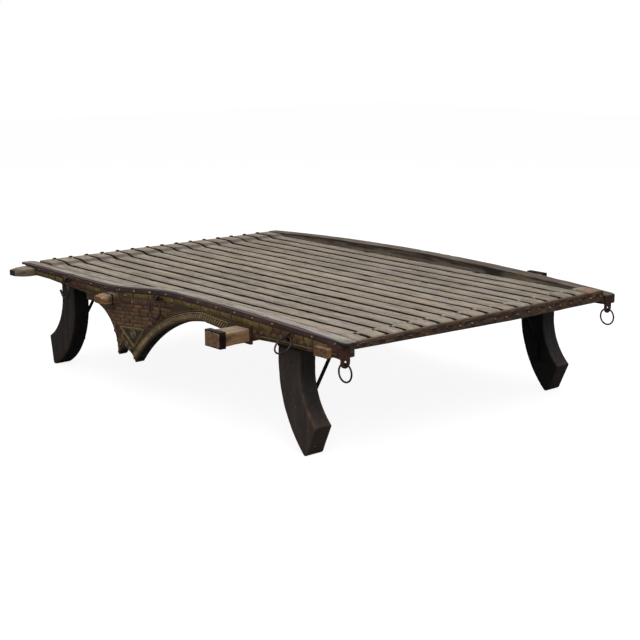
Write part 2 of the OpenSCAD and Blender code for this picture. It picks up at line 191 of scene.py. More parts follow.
def loft(M, R, C, m=0, capc=None, strip=None, closed=False):
    """Closed skin through rings R (n, K, 3); ends are closed with a chamfered
    fan, or with strips across when strip gives pairs of ring indices."""
    R = np.asarray(R, float)
    n, K, _ = R.shape
    C = np.asarray(C, float)
    C = np.broadcast_to(C, (n, K, 3)) if C.ndim < 3 else C
    idx = np.arange(n * K).reshape(n, K)
    a = idx if closed else idx[:-1]
    b = np.roll(idx, -1, 0) if closed else idx[1:]
    quads = [np.stack([a, np.roll(a, -1, 1), np.roll(b, -1, 1), b], -1).reshape(-1, 4)]
    v, c, tris = [R.reshape(-1, 3)], [C.reshape(-1, 3)], []
    base = n * K
    if not closed:
        for e, flip in ((0, True), (n - 1, False)):
            ring = idx[e]
            if strip is not None:
                f = [[ring[i], ring[i2], ring[j2], ring[j]] for (i, j), (i2, j2) in zip(strip[:-1], strip[1:])]
                f = np.array(f)
                # keep only real quads; ends may be triangles
                good = np.array([len(set(q)) == 4 for q in f.tolist()])
                t3 = [list(dict.fromkeys(q)) for q in f[~good].tolist()]
                t3 = np.array([q for q in t3 if len(q) == 3]).reshape(-1, 3)
                f = f[good]
                quads.append(f if flip else f[:, ::-1])
                if len(t3):
                    tris.append(t3 if flip else t3[:, ::-1])
                continue
            cen = R[e].mean(0)
            cc = C[e] if capc is None else np.broadcast_to(capc[0 if e == 0 else 1], (K, 3))
            inner = cen + (R[e] - cen) * 0.9
            mid = cen + (R[e] - cen) * 0.5
            v += [inner, mid, cen[None]]
            c += [cc, cc * 0.93, cc.mean(0)[None]]
            i1, i2, ic = base + np.arange(K), base + K + np.arange(K), base + 2 * K
            for p, q in ((ring, i1), (i1, i2)):
                f = np.stack([p, q, np.roll(q, -1), np.roll(p, -1)], -1)
                quads.append(f if flip else f[:, ::-1])
            f = np.stack([i2, np.full(K, ic), np.roll(i2, -1)], -1)
            tris.append(f if flip else f[:, ::-1])
            base += 2 * K + 1
    M.add(np.concatenate(v), [np.concatenate(quads)] + ([np.concatenate(tris)] if tris else []), np.concatenate(c), m)


def ring_rect(w, h, r, nw, nh):
    """Points round a w by h rectangle with worn corners of radius r."""
    pts, cor = [], []
    w2, h2 = w / 2, h / 2
    cs = [(w2 - r, h2 - r, 0), (-w2 + r, h2 - r, 90), (-w2 + r, -h2 + r, 180), (w2 - r, -h2 + r, 270)]
    for i, (cx, cy, a) in enumerate(cs):
        for k in (0, 45, 90):
            t = math.radians(a + k)
            pts.append((cx + r * math.cos(t), cy + r * math.sin(t)))
            cor.append(1.0)
        nx = cs[(i + 1) % 4]
        t = math.radians(a + 90)
        p0 = np.array([cx + r * math.cos(t), cy + r * math.sin(t)])
        p1 = np.array([nx[0] + r * math.cos(t), nx[1] + r * math.sin(t)])
        n = nw if i in (0, 2) else nh
        for k in range(1, n):
            q = p0 + (p1 - p0) * k / n
            pts.append(tuple(q))
            cor.append(0.0)
    return np.array(pts), np.array(cor)


def timber(M, axis, u0, u1, cen, w, h, r, step, colf, seed, amp=0.8, taper=None, capc=None, clamp=0.0):
    """A worn squared timber along axis 0 (X) or 1 (Y). w is its width across,
    h its height; colf(u, p, q, cor, n) gives colours."""
    n = max(3, int(round((u1 - u0) / step)) + 1)
    us = np.linspace(u0, u1, n)
    ring, cor = ring_rect(w, h, r, max(2, int(w / 9)), max(2, int(h / 9)))
    K = len(ring)
    p = np.tile(ring[:, 0], (n, 1))
    q = np.tile(ring[:, 1], (n, 1))
    U = np.tile(us[:, None], (1, K))
    if taper is not None:
        k = taper(us)
        p *= k[:, :1]
        q *= k[:, 1:]
    ang = np.arctan2(ring[:, 1], ring[:, 0])[None] * 3
    d = (fbm(U / 70.0, ang * 2.2, seed, 3) - 0.5) * 2 * amp + (vn(U / 260.0, ang, seed + 5) - 0.5) * amp
    d -= np.tile(cor, (n, 1)) * amp * 1.3 * vn(U / 24.0, ang, seed + 9)
    L = np.hypot(p, q) + 1e-6
    p2 = p + p / L * (d - amp) - clamp * np.sign(p)
    q2 = q + q / L * (d - amp) - clamp * np.sign(q)
    col = colf(U, p, q, np.tile(cor, (n, 1)), d)
    if axis == 0:
        R = np.stack([U, cen[0] + p2, cen[1] + q2], -1)
    else:
        R = np.stack([cen[0] + p2, U, cen[1] + q2], -1)
    loft(M, R, col, 0, capc)


def dome(M, at, r, h, axis, c, m=0, seg=10):
    """A low domed stud; axis is the outward direction (unit, along an axis)."""
    ax = np.array(axis, float)
    t1 = np.array([0, 0, 1.0]) if abs(ax[2]) < 0.5 else np.array([1.0, 0, 0])
    t2 = np.cross(ax, t1)
    prof = [(1.0, -1.2), (1.0, 0.12 * h), (0.86, 0.5 * h), (0.55, 0.86 * h), (0.2, h)]
    th = np.linspace(0, 2 * np.pi, seg, endpoint=False)
    R = [[np.array(at) + r * k * (math.cos(a) * t1 + math.sin(a) * t2) + ax * z for a in th] for k, z in prof]
    loft(M, np.array(R), np.asarray(c, float), m)


def tube(M, pts, r, c, m=0, seg=8, squash=1.0, closed=False, up=(0, 1.0, 0)):
    """Round or flattened bead along points, squashed along up."""
    P = np.asarray(pts, float)
    T = np.roll(P, -1, 0) - np.roll(P, 1, 0) if closed else np.gradient(P, axis=0)
    T /= np.linalg.norm(T, axis=1)[:, None] + 1e-9
    up = np.array(up, float)
    S = np.cross(T, up)
    S /= np.linalg.norm(S, axis=1)[:, None] + 1e-9
    U = np.cross(S, T)
    th = np.linspace(0, 2 * np.pi, seg, endpoint=False)
    R = P[:, None] + r * (np.cos(th)[None, :, None] * S[:, None] + squash * np.sin(th)[None, :, None] * U[:, None])
    loft(M, R, np.asarray(c, float), m, closed=closed)


def tile(M, quad, y, h, c, m=0, bev=1.6):
    """A raised, bevelled four-cornered tile on the face at y, h proud of it.
    quad is four (x, z) corners."""
    q = np.array(quad, float)
    cen = q.mean(0)
    d = q - cen
    L = np.linalg.norm(d, axis=1)[:, None]
    s = np.sign(y)
    inn = q - d / L * bev
    v = [np.column_stack([q[:, 0], np.full(4, y - s * 1.0), q[:, 1]]),
         np.column_stack([q[:, 0], np.full(4, y + s * h * 0.4), q[:, 1]]),
         np.column_stack([inn[:, 0], np.full(4, y + s * h), inn[:, 1]])]
    a = np.arange(4)
    f = [np.stack([k + a, k + np.roll(a, -1), k + 4 + np.roll(a, -1), k + 4 + a], -1) for k in (0, 4)]
    f.append(np.array([[0, 1, 2, 3]])[:, ::-1])
    f.append(np.array([[8, 9, 10, 11]]))
    # painted shade: the sunk foot and the bevel are painted as darker copies of the tile's colour
    col = np.concatenate([np.tile(np.asarray(c) * 0.45, (4, 1)), np.tile(np.asarray(c) * 0.8, (4, 1)), np.tile(c, (4, 1))])
    M.add(np.concatenate(v), [np.concatenate(f)], col, m)


# ---------------------------------------------------------------- materials
def nodes_of(name):
    m = bpy.data.materials.new(name)
    m.use_nodes = True
    nt = m.node_tree
    nt.nodes.clear()
    out = nt.nodes.new("ShaderNodeOutputMaterial")
    b = nt.nodes.new("ShaderNodeBsdfPrincipled")
    nt.links.new(b.outputs[0], out.inputs[0])
    return m, nt, b


def tex_noise(nt, vec, scale, detail=5, rough=0.6, dist=0.0):
    n = nt.nodes.new("ShaderNodeTexNoise")
    n.inputs["Scale"].default_value = scale
    n.inputs["Detail"].default_value = detail
    n.inputs["Roughness"].default_value = rough
    n.inputs["Distortion"].default_value = dist
    nt.links.new(vec, n.inputs["Vector"])
    return n.outputs["Fac"]


def remap(nt, v, a, b, c, d):
    n = nt.nodes.new("ShaderNodeMapRange")
    for i, k in enumerate((a, b, c, d)):
        n.inputs[i + 1].default_value = k
    nt.links.new(v, n.inputs[0])
    return n.outputs[0]


def mixrgb(nt, kind, fac, a, b):
    n = nt.nodes.new("ShaderNodeMix")
    n.data_type = "RGBA"
    n.blend_type = kind
    n.clamp_result = True
    for s, v in ((n.inputs[0], fac), (n.inputs[6], a), (n.inputs[7], b)):
        if isinstance(v, (int, float)):
            s.default_value = v
        elif isinstance(v, (tuple, list, np.ndarray)):
            s.default_value = tuple(v) + ((1.0,) if len(v) == 3 else ())
        else:
            nt.links.new(v, s)
    return n.outputs[2]


def coords(nt, scale):
    t = nt.nodes.new("ShaderNodeTexCoord")
    m = nt.nodes.new("ShaderNodeMapping")
    m.inputs["Scale"].default_value = scale
    nt.links.new(t.outputs["Object"], m.inputs["Vector"])
    return m.outputs[0]


def bump(nt, b, h, strength, dist):
    n = nt.nodes.new("ShaderNodeBump")
    n.inputs["Strength"].default_value = strength
    n.inputs["Distance"].default_value = dist
    nt.links.new(h, n.inputs["Height"])
    nt.links.new(n.outputs[0], b.inputs["Normal"])


def wood(name, grain, rough=(0.55, 0.85), crack=0.5, contrast=0.5, col=None, bmp=0.6, spec=0.35, coat=0.0, dirt=0.35):
    """Old timber. grain is the texture scale along X, Y, Z: low along the
    grain and high across it."""
    m, nt, b = nodes_of(name)
    g = coords(nt, grain)
    fine = tex_noise(nt, g, 1.0, 7, 0.65, 0.25)
    broad = tex_noise(nt, coords(nt, tuple(k * 0.13 for k in grain)), 1.0, 4, 0.55, 0.6)
    spots = tex_noise(nt, coords(nt, (38, 38, 38)), 1.0, 5, 0.7)
    if col is None:
        a = nt.nodes.new("ShaderNodeAttribute")
        a.attribute_name = "Col"
        base = a.outputs["Color"]
    else:
        base = tuple(col)
    lo = 1.0 - contrast
    f1 = nt.nodes.new("ShaderNodeCombineColor")
    v1 = remap(nt, fine, 0.28, 0.72, lo, 1.0 + contrast * 0.75)
    for i in range(3):
        nt.links.new(v1, f1.inputs[i])
    c = mixrgb(nt, "MULTIPLY", 1.0, base, f1.outputs[0])
    # thin dark checks along the grain
    w = remap(nt, tex_noise(nt, coords(nt, tuple(k * 0.62 for k in grain)), 1.0, 3, 0.4, 0.15), 0.60, 0.67, 0.0, crack)
    c = mixrgb(nt, "MIX", w, c, (0.012, 0.009, 0.007))
    d = remap(nt, spots, 0.5, 0.75, 0.0, dirt)
    c = mixrgb(nt, "MULTIPLY", d, c, (0.42, 0.36, 0.30))
    hue = remap(nt, broad, 0.35, 0.65, 0.0, 0.18)
    c = mixrgb(nt, "SOFT_LIGHT", hue, c, (0.62, 0.5, 0.38))
    nt.links.new(c, b.inputs["Base Color"])
    nt.links.new(remap(nt, fine, 0.3, 0.7, rough[1], rough[0]), b.inputs["Roughness"])
    b.inputs["Specular IOR Level"].default_value = spec
    if coat:
        b.inputs["Coat Weight"].default_value = coat
        b.inputs["Coat Roughness"].default_value = 0.35
    s = nt.nodes.new("ShaderNodeMath")
    s.operation = "SUBTRACT"
    nt.links.new(fine, s.inputs[0])
    nt.links.new(w, s.inputs[1])
    bump(nt, b, s.outputs[0], bmp, 0.0012)
    return m


def iron(name, dark=(0.018, 0.014, 0.013), rust=(0.085, 0.032, 0.016), amount=0.5, rough=(0.42, 0.8), metal=0.75):
    m, nt, b = nodes_of(name)
    n1 = tex_noise(nt, coords(nt, (60, 60, 60)), 1.0, 6, 0.65, 0.3)
    n2 = tex_noise(nt, coords(nt, (330, 330, 330)), 1.0, 4, 0.6)
    k = remap(nt, n1, 0.62 - 0.25 * amount, 0.78 - 0.2 * amount, 0.0, 1.0)
    c = mixrgb(nt, "MIX", k, dark, rust)
    f = remap(nt, n2, 0.3, 0.7, 0.0, 0.6)
    c = mixrgb(nt, "MULTIPLY", f, c, (0.5, 0.45, 0.45))
    nt.links.new(c, b.inputs["Base Color"])
    nt.links.new(remap(nt, n1, 0.3, 0.7, rough[0], rough[1]), b.inputs["Roughness"])
    b.inputs["Metallic"].default_value = metal
    bump(nt, b, n2, 0.55, 0.0008)
    return m


def brass(name):
    m, nt, b = nodes_of(name)
    n1 = tex_noise(nt, coords(nt, (90, 90, 90)), 1.0, 5, 0.6)
    k = remap(nt, n1, 0.42, 0.66, 0.0, 0.85)
    a = nt.nodes.new("ShaderNodeAttribute")
    a.attribute_name = "Col"
    c = mixrgb(nt, "MIX", k, a.outputs["Color"], (0.16, 0.10, 0.05))
    nt.links.new(c, b.inputs["Base Color"])
    nt.links.new(remap(nt, n1, 0.3, 0.7, 0.28, 0.55), b.inputs["Roughness"])
    b.inputs["Metallic"].default_value = 0.9
    bump(nt, b, tex_noise(nt, coords(nt, (260, 260, 260)), 1.0, 3, 0.6), 0.3, 0.0006)
    return m


M_SLAT = wood("slat_wood", (3.2, 110, 110), (0.6, 0.9), 0.30, 0.24, bmp=0.7, dirt=0.22)
M_CAP = wood("cap_wood", (3.0, 120, 120), (0.6, 0.9), 0.45, 0.28, bmp=0.7, dirt=0.25)
M_SIDE = wood("side_wood", (6, 90, 90), (0.42, 0.75), 0.35, 0.45, bmp=0.6, spec=0.45, dirt=0.5)
M_CARVE = wood("carved_wood", (22, 60, 60), (0.38, 0.7), 0.2, 0.45, bmp=0.5, spec=0.5, dirt=0.55)
M_CROSS = wood("cross_wood", (110, 4.5, 110), (0.55, 0.85), 0.6, 0.5, bmp=0.9)
M_LEG = wood("leg_wood", (70, 70, 6), (0.40, 0.66), 0.15, 0.45, bmp=0.35, spec=0.5, dirt=0.4)
M_IRON = iron("forged_iron", amount=0.55)
M_HAND = iron("handled_iron", dark=(0.055, 0.044, 0.040), rust=(0.12, 0.058, 0.034), amount=0.6, rough=(0.32, 0.6))
M_RUST = iron("rusty_iron", dark=(0.03, 0.019, 0.016), rust=(0.12, 0.045, 0.026), amount=1.1, rough=(0.55, 0.9), metal=0.45)
M_BLACK = iron("black_iron", dark=(0.010, 0.009, 0.009), rust=(0.03, 0.018, 0.013), amount=0.35, rough=(0.45, 0.7), metal=0.6)
M_BRASS = brass("old_brass")

GREY = srgb(146, 138, 127)
TAN = srgb(152, 138, 117)
PINK = srgb(148, 132, 121)
OLIVE_GREY = srgb(134, 129, 109)
DARKGREY = srgb(96, 88, 80)
LIGHT = srgb(172, 165, 152)
PURPLE = srgb(78, 57, 53)
OLIVE = srgb(112, 95, 46)
REDBR = srgb(96, 58, 44)
BROWN = srgb(80, 60, 45)
DARK = srgb(44, 33, 27)
BEIGE = srgb(150, 130, 98)
STUB = srgb(134, 104, 78)
BLACKW = srgb(66, 57, 53)
BLACK = srgb(9, 8, 8)

# ---------------------------------------------------------------- deck
PATH_X = np.array([-940, -846, -818, 880, 914, 986, 1002, 1008.0])
PATH_Z = np.array([408, 408, 398, 398, 418, 418, 414, 408.0])


def deck_z(x):
    s = 0
    for d in (-8, -4, 0, 4, 8):
        s = s + np.interp(np.clip(x + d, -940, 1008), PATH_X, PATH_Z)
    return s / 5


def make_deck():
    M = Mesh()
    nails = Mesh()
    xs = np.unique(np.concatenate([np.arange(-940, -800, 3.5), np.arange(-800, 860, 7.0),
                                   np.arange(860, 985, 3.5), np.arange(985, 1008.1, 1.8), [1007.8]]))
    xs = xs[xs <= 1007.9]
    n = len(xs)
    rng = np.random.default_rng(11)
    for i in range(COUNT):
        y0 = -DECK_W / 2 + (i + 0.5) * PITCH
        s = 100 + 13 * i
        w = np.full(n, PITCH / 2 - GAP / 2)
        cen = y0 + (vn(xs / 520.0, 0, s) - 0.5) * 2.4
        # a lateral kink where the slat climbs over the front beam
        cen = cen + 3.0 * (ss((xs - 884) / 12) - ss((xs - 902) / 16)) + 1.2 * np.sin((xs - 920) / 14) * ss((xs - 918) / 10)
        wl = w - 2.0 - 4.4 * fbm(xs / 60.0, 0, s + 1, 4) ** 1.5
        wr = w - 2.0 - 4.4 * fbm(xs / 60.0, 0, s + 2, 4) ** 1.5
        for k in range(11):     # chips and worn hollows along the edges
            cx, cw, cd = rng.uniform(-900, 980), rng.uniform(8, 60), rng.uniform(1.0, 4.6)
            bite = cd * np.clip(1 - np.abs((xs - cx) / cw) ** 1.5, 0, 1) * (0.6 + 0.8 * vn(xs / 4.0, k, s))
            if k % 2:
                wl = wl - bite
            else:
                wr = wr - bite
        # scalloped front tips, rounded rear tips
        t = np.clip((xs - (1008 - 19)) / 19, 0, 1)
        k1 = np.sqrt(np.clip(1 - (t * 0.93) ** 2.4, 0, 1))
        t0 = np.clip(((-940 + 9) - xs) / 9, 0, 1)
        k0 = 1 - 0.16 * t0 ** 2
        wl, wr = wl * k1 * k0, wr * k1 * k0
        zt = deck_z(xs) - 0.7 + (vn(xs / 300.0, 0, s + 4) - 0.5) * 1.5 + rng.uniform(-0.6, 0.2)
        zt = zt - 2.0 * t ** 2
        if i == 15:
            # last slat beside the far rail is chipped in two places
            for cx, cw, cd in ((-249, 24, 10), (399, 20, 9)):
                wr = wr - cd * np.clip(1 - np.abs((xs - cx) / cw) ** 3, 0, 1)
        if i == 0:
            wl = wl - 10 * np.clip(1 - np.abs((xs + 885) / 34) ** 3, 0, 1) * (0.7 + 0.5 * vn(xs / 6.0, 1, 9))
            wl = wl - 7 * np.clip(1 - np.abs((xs - 905) / 60) ** 2, 0, 1) * (0.4 + 0.9 * vn(xs / 9.0, 2, 9))
        # ring, seen along X, from left edge over the top to the right edge
        u = np.array([-1.0, -1.0, -0.955, -0.86, -0.62, -0.3, 0.0, 0.3, 0.62, 0.86, 0.955, 1.0, 1.0, 0.5, -0.5])
        dz = np.array([-10.2, -3.4, -1.2, -0.15, 0, 0.1, 0.15, 0.1, 0, -0.15, -1.2, -3.4, -10.2, -10.8, -10.8])
        K = len(u)
        half = np.where(u[None] < 0, wl[:, None], wr[:, None])
        Y = cen[:, None] + u[None] * half
        X = np.tile(xs[:, None], (1, K))
        top = (dz > -4)[None]
        Z = zt[:, None] + dz[None]
        rel = (fbm(X / 55.0, Y / 5.0, s + 6, 3) - 0.5) * 1.0
        Z = Z + np.where(top, rel - 0.3, 0)
        cup = -0.5 * (vn(xs / 400.0, 3, s + 8) - 0.2)
        Z = Z + np.where(top, (u[None] ** 2) * cup[:, None] * -1.2, 0)
        # colours
        base = mix(GREY, TAN, rng.uniform(0, 0.75))
        base = mix(base, PINK, rng.uniform(0, 0.45)) * rng.uniform(0.88, 1.08)
        c = np.tile(base, (n, K, 1))
        c = mix(c, OLIVE_GREY, ss((fbm(X / 230.0, Y / 60.0, s + 20, 3) - 0.50) / 0.16) * 0.7)
        c = mix(c, TAN * 1.02, ss((fbm(X / 160.0, Y / 34.0, s + 21, 3) - 0.53) / 0.14) * 0.75)
        c = mix(c, PINK * 0.95, ss((fbm(X / 120.0, Y / 30.0, s + 22, 3) - 0.56) / 0.12) * 0.6)
        c = mix(c, DARKGREY, ss((fbm(X / 70.0, Y / 9.0, s + 23, 3) - 0.56) / 0.14) * 0.55)
        c = mix(c, LIGHT, ss((fbm(X / 90.0, Y / 12.0, s + 24, 3) - 0.60) / 0.12) * 0.5)
        edge = np.where((np.abs(np.abs(u) - 0.86) < 0.02)[None], 1.0, 0.0)
        c = mix(c, LIGHT * 0.98, edge * (0.1 + 0.5 * vn(X / 60.0, u[None] * 5, s + 25)))
        # painted shade across each slat: darker towards its -y edge and a little towards +y. The far slats (i > 9) are
        # painted darker as well.
        c = c * (1.06 - 0.36 * np.clip(-u[None], 0, 1) ** 1.5 - 0.05 * np.clip(u[None], 0, 1))[..., None]
        c = c * (1.0 - 0.14 * (i > 9) * min(1.0, (i - 9) / 3.0))
        # painted shade: the slats' sides in the gaps between them are painted black and near black, and their
        # undersides dark brown
        side = (dz <= -0.9)[None] & (np.abs(u) > 0.9)[None]
        c = np.where(side[..., None], np.where((dz < -2)[None, :, None], BLACK, DARK * 0.35), c)
        c = np.where((dz < -9)[None, :, None], np.asarray(BROWN) * 0.35, c)
        # painted shade: a grey band where the slats rise over the rear beam and another where they climb over the
        # front beam; lighter lip; red-brown front lip
        rise = ss((X + 856) / 10) * (1 - ss((X + 832) / 18)) * top
        c = mix(c, DARKGREY * 0.7, rise * 0.8)
        rise2 = ss((X - 880) / 8) * (1 - ss((X - 912) / 10)) * top
        c = mix(c, DARKGREY * 0.75, rise2 * 0.55)
        lip = ss((X - 984) / 16) * (0.35 + 0.65 * vn(X / 12.0, Y / 12.0, s + 30))
        c = mix(c, srgb(96, 78, 62), lip * 0.8)
        # painted shadow: dark arcs where the slats climb over the front beam, with a painted highlight just past them
        bow = X - 884 - 22 * u[None] ** 2
        arc = ss(1 - np.abs(bow) / 9.0) * (0.5 + 0.5 * vn(Y / 14.0, 0, s + 31))
        c = mix(c, DARK * 0.45, arc * top * 0.95)
        c = mix(c, LIGHT, ss(1 - np.abs(bow - 24) / 13.0) * top * 0.5)
        c = mix(c, mix(TAN, STUB, 0.5), (1 - ss((X + 925) / 26)) * 0.35)
        if i == 0:
            c = mix(c, STUB, ss(1 - np.abs((X + 885) / 48)) * ss((-u[None] - 0.1) / 0.5) * 0.9)
            c = mix(c, REDBR * 1.1, ss(1 - np.abs((X - 905) / 75)) * ss((-u[None] - 0.0) / 0.5) * 0.85)
        if i == 15:
            c = mix(c, STUB * 1.1, ss((X - 930) / 30) * 0.8)
            c = mix(c, DARK, ss(1 - np.abs((X - 399) / 34)) * ss((u[None] - 0.2) / 0.4) * 0.8)
        R = np.stack([X, Y, Z], -1)
        capc = np.stack([STUB * 0.45, REDBR * 0.4])
        loft(M, R, c, 0, capc)
        # nail heads over each bearer
        for bx in (-900, -715, -257, 529, 715, 958):
            for dy in (-16, 17):
                px, py = bx + rng.uniform(-9, 9), y0 + dy + rng.uniform(-4, 4)
                z = float(np.interp(px, xs, zt))
                dome(nails, (px, py, z - 0.9), 2.9, 1.3, (0, 0, 1), (0.03, 0.02, 0.018), 0, 8)
        # blunt pegs that stand at the seams on the rear end
        if i:
            ys = -DECK_W / 2 + i * PITCH
            # a low flattened cleat, longer across the seam than along it
            th = np.linspace(0, 2 * np.pi, 12, endpoint=False)
            cl = [[(-933 + 5 * k * math.cos(a), ys - 2 + 10.5 * k * math.sin(a), z) for a in th]
                  for k, z in ((1, 404), (1.0, 409.6), (0.85, 411.6), (0.4, 412.4))]
            loft(nails, np.array(cl), np.array([0.02, 0.016, 0.014]), 0)
    # worn nosing along the slats' front ends, in one line with the fascia
    ys = np.arange(-612, 612.1, 9.0)
    zc = np.array([403.0, 404.5, 409, 413.5, 415.6, 416.2, 415.0, 403.0])
    xc = np.array([1006.6, 1007.3, 1007.6, 1007.3, 1005.6, 1002.0, 999.5, 999.5])
    m = len(zc)
    wob = (fbm(ys[:, None] / 50.0, zc[None] / 9.0, 88, 3) - 0.5) * 1.4
    Rn = np.stack([np.tile(xc, (len(ys), 1)) - 0.5 + 0.4 * wob, np.tile(ys[:, None], (1, m)), np.tile(zc, (len(ys), 1)) - 0.4 + wob * 0.6], -1)
    cn = np.tile(srgb(90, 71, 57), (len(ys), m, 1))
    cn = mix(cn, srgb(54, 41, 35), ss((fbm(ys[:, None] / 40.0, zc[None] / 8.0, 89, 4) - 0.48) / 0.2) * 0.7)
    cn = mix(cn, srgb(126, 104, 82), (np.arange(m) == 4)[None] * (0.2 + 0.6 * vn(ys[:, None] / 20.0, 0, 90)))
    loft(M, Rn, cn, 0, capc=np.stack([BROWN, BROWN]))
    M.build("slats", [M_SLAT], replaces=["deck_slats"])
    nails.build("deck_nails", [M_RUST])


# ---------------------------------------------------------------- rail sides
def make_side(side, name):
    """Rail and hanging bracket of one side, in one carved board."""
    M = Mesh()
    s0 = 400 if side < 0 else 700
    xs = np.concatenate([np.arange(-935, -856, 5.0), [-855.6, -854.9], np.arange(-852, -457, 5.0), [-455.4, -454.9],
                         np.arange(-452, -262, 4.0), np.arange(-262, -236, 1.3), np.arange(-236, -60, 2.4),
                         np.arange(-60, 452, 5.0), [454.8, 455.3], np.arange(459, 1008, 5.0), [1008.5, 1011]])
    n = len(xs)
    xs = np.sort(xs)
    top = cap_top(side, xs) - 4.6
    low = np.where(xs < -855.2, 396.2, rail_low(side, xs))
    mid = (xs > -455.1) & (xs < 455.1)
    low = np.where(mid, bracket_low(xs), low)
    low = np.minimum(low, top - 2)
    K = 46
    t = np.linspace(0, 1, K) ** 0.9
    Z = low[:, None] + (top - low)[:, None] * t[None]
    X = np.tile(xs[:, None], (1, K))
    d = np.minimum(Z - low[:, None], 6.0)
    rnd = 2.6 * (1 - np.sqrt(np.clip(1 - (1 - np.clip(d / 3.2, 0, 1)) ** 2, 0, 1)))
    wav = (fbm(X / 90.0, Z / 14.0, s0, 3) - 0.5) * 1.2
    Yo = RAIL_OUT - 1.6 - rnd + wav * 0.6
    Yi = RAIL_IN + 0.4 + rnd * 0.8 - 0.2 + 0.25 * wav
    # the hanging bracket is a thinner board, flush with the outer face
    Yi = np.where(mid[:, None] & (Z < 391.5), Yi + 19.2, Yi)
    # outer face colours: bands that follow the top line
    dt = cap_top(side, X) - Z
    c = np.tile(PURPLE, (n, K, 1)) * (0.75 + 0.5 * fbm(X / 50.0, Z / 16.0, s0 + 3, 3))[..., None]
    c = mix(c, BROWN, ss((dt - 26) / 4))
    c = mix(c, DARK, ss((fbm(X / 60.0, Z / 20.0, s0 + 4, 4) - 0.5) / 0.2) * 0.65)
    c = mix(c, OLIVE * 0.8, ss((fbm(X / 90.0, Z / 20.0, s0 + 5, 3) - 0.52) / 0.16) * 0.55 * ss((dt - 24) / 4))
    c = mix(c, REDBR * 0.9, ss((fbm(X / 70.0, Z / 18.0, s0 + 6, 3) - 0.55) / 0.14) * 0.6)
    c = mix(c, BEIGE * 0.5, ss((fbm(X / 26.0, Z / 11.0, s0 + 11, 3) - 0.6) / 0.1) * 0.5)
    # dark ground under the teeth of the arch, and a plain border
    rad = np.hypot(X - 376, Z + 285) - 657 - arch_drop(X)
    onarch = (X < 440) & (X > -140)
    c = np.where((onarch & (rad > 7) & (rad < 31))[..., None], DARK * 0.55, c)
    c = np.where((onarch & (rad <= 7))[..., None], mix(REDBR, BROWN, 0.6) * 0.8, c)
    # painted shade: the outer face darkens over the last few millimetres at its lower edge
    c = mix(c, DARK * 0.25, 1 - ss((Z - low[:, None]) / 2.2))
    # inner face colours
    ci = np.tile(BROWN * 0.75, (n, K, 1)) * (0.7 + 0.6 * fbm(X / 80.0, Z / 9.0, s0 + 7, 3))[..., None]
    ci = mix(ci, DARK * 0.6, ss((fbm(X / 46.0, Z / 16.0, s0 + 8, 4) - 0.5) / 0.18) * 0.75)
    ci = mix(ci, GREY * 0.6, ss((fbm(X / 90.0, Z / 9.0, s0 + 9, 3) - 0.52) / 0.14) * 0.6)
    ci = mix(ci, GREY * 0.75, ss(1 - (Z - 398) / 16.0) * (0.35 + 0.5 * vn(X / 110.0, 0, s0 + 12)) * (Z > 396))
    ci = mix(ci, TAN * 0.7, ss((-430 - X) / 200) * 0.5)
    # painted shade: the inner face darkens just under the cap
    ci = mix(ci, DARK * 0.35, ss(1 - (top[:, None] - Z) / 9.0) * 0.85)
    if side > 0:
        ci = mix(ci, srgb(112, 92, 54), ss(1 - np.abs((X - 610) / 70)) * 0.6)
        ci = mix(ci, DARK * 0.4, ss(1.6 - 1.6 * np.abs((X - 470) / 66)) * 0.85)
    R = np.concatenate([np.stack([X, side * Yo, Z], -1), np.stack([X, side * Yi, Z], -1)[:, ::-1]], 1)
    C = np.concatenate([c, ci[:, ::-1]], 1)
    pairs = [(i, 2 * K - 1 - i) for i in range(K)]
    loft(M, R, C, 0, strip=pairs)
    nib = "near" if side < 0 else "far"
    if side < 0:
        rep = ["rail_near", "bracket_near"]
    else:
        rep = ["rail_far", "bracket_far"]
    # little round nib at the rear corner of the bracket
    th = np.linspace(0, 2 * np.pi, 18, endpoint=False)
    Rn = np.array([[[-238 + k * math.cos(a), side * y, 161 + k * math.sin(a)] for a in th]
                   for k, y in ((5.2, 638), (7, 639.5), (7, 674.5), (5.2, 677))])
    loft(M, Rn, DARK * 0.9, 0)
    return M.build(name, [M_SIDE], replaces=rep)


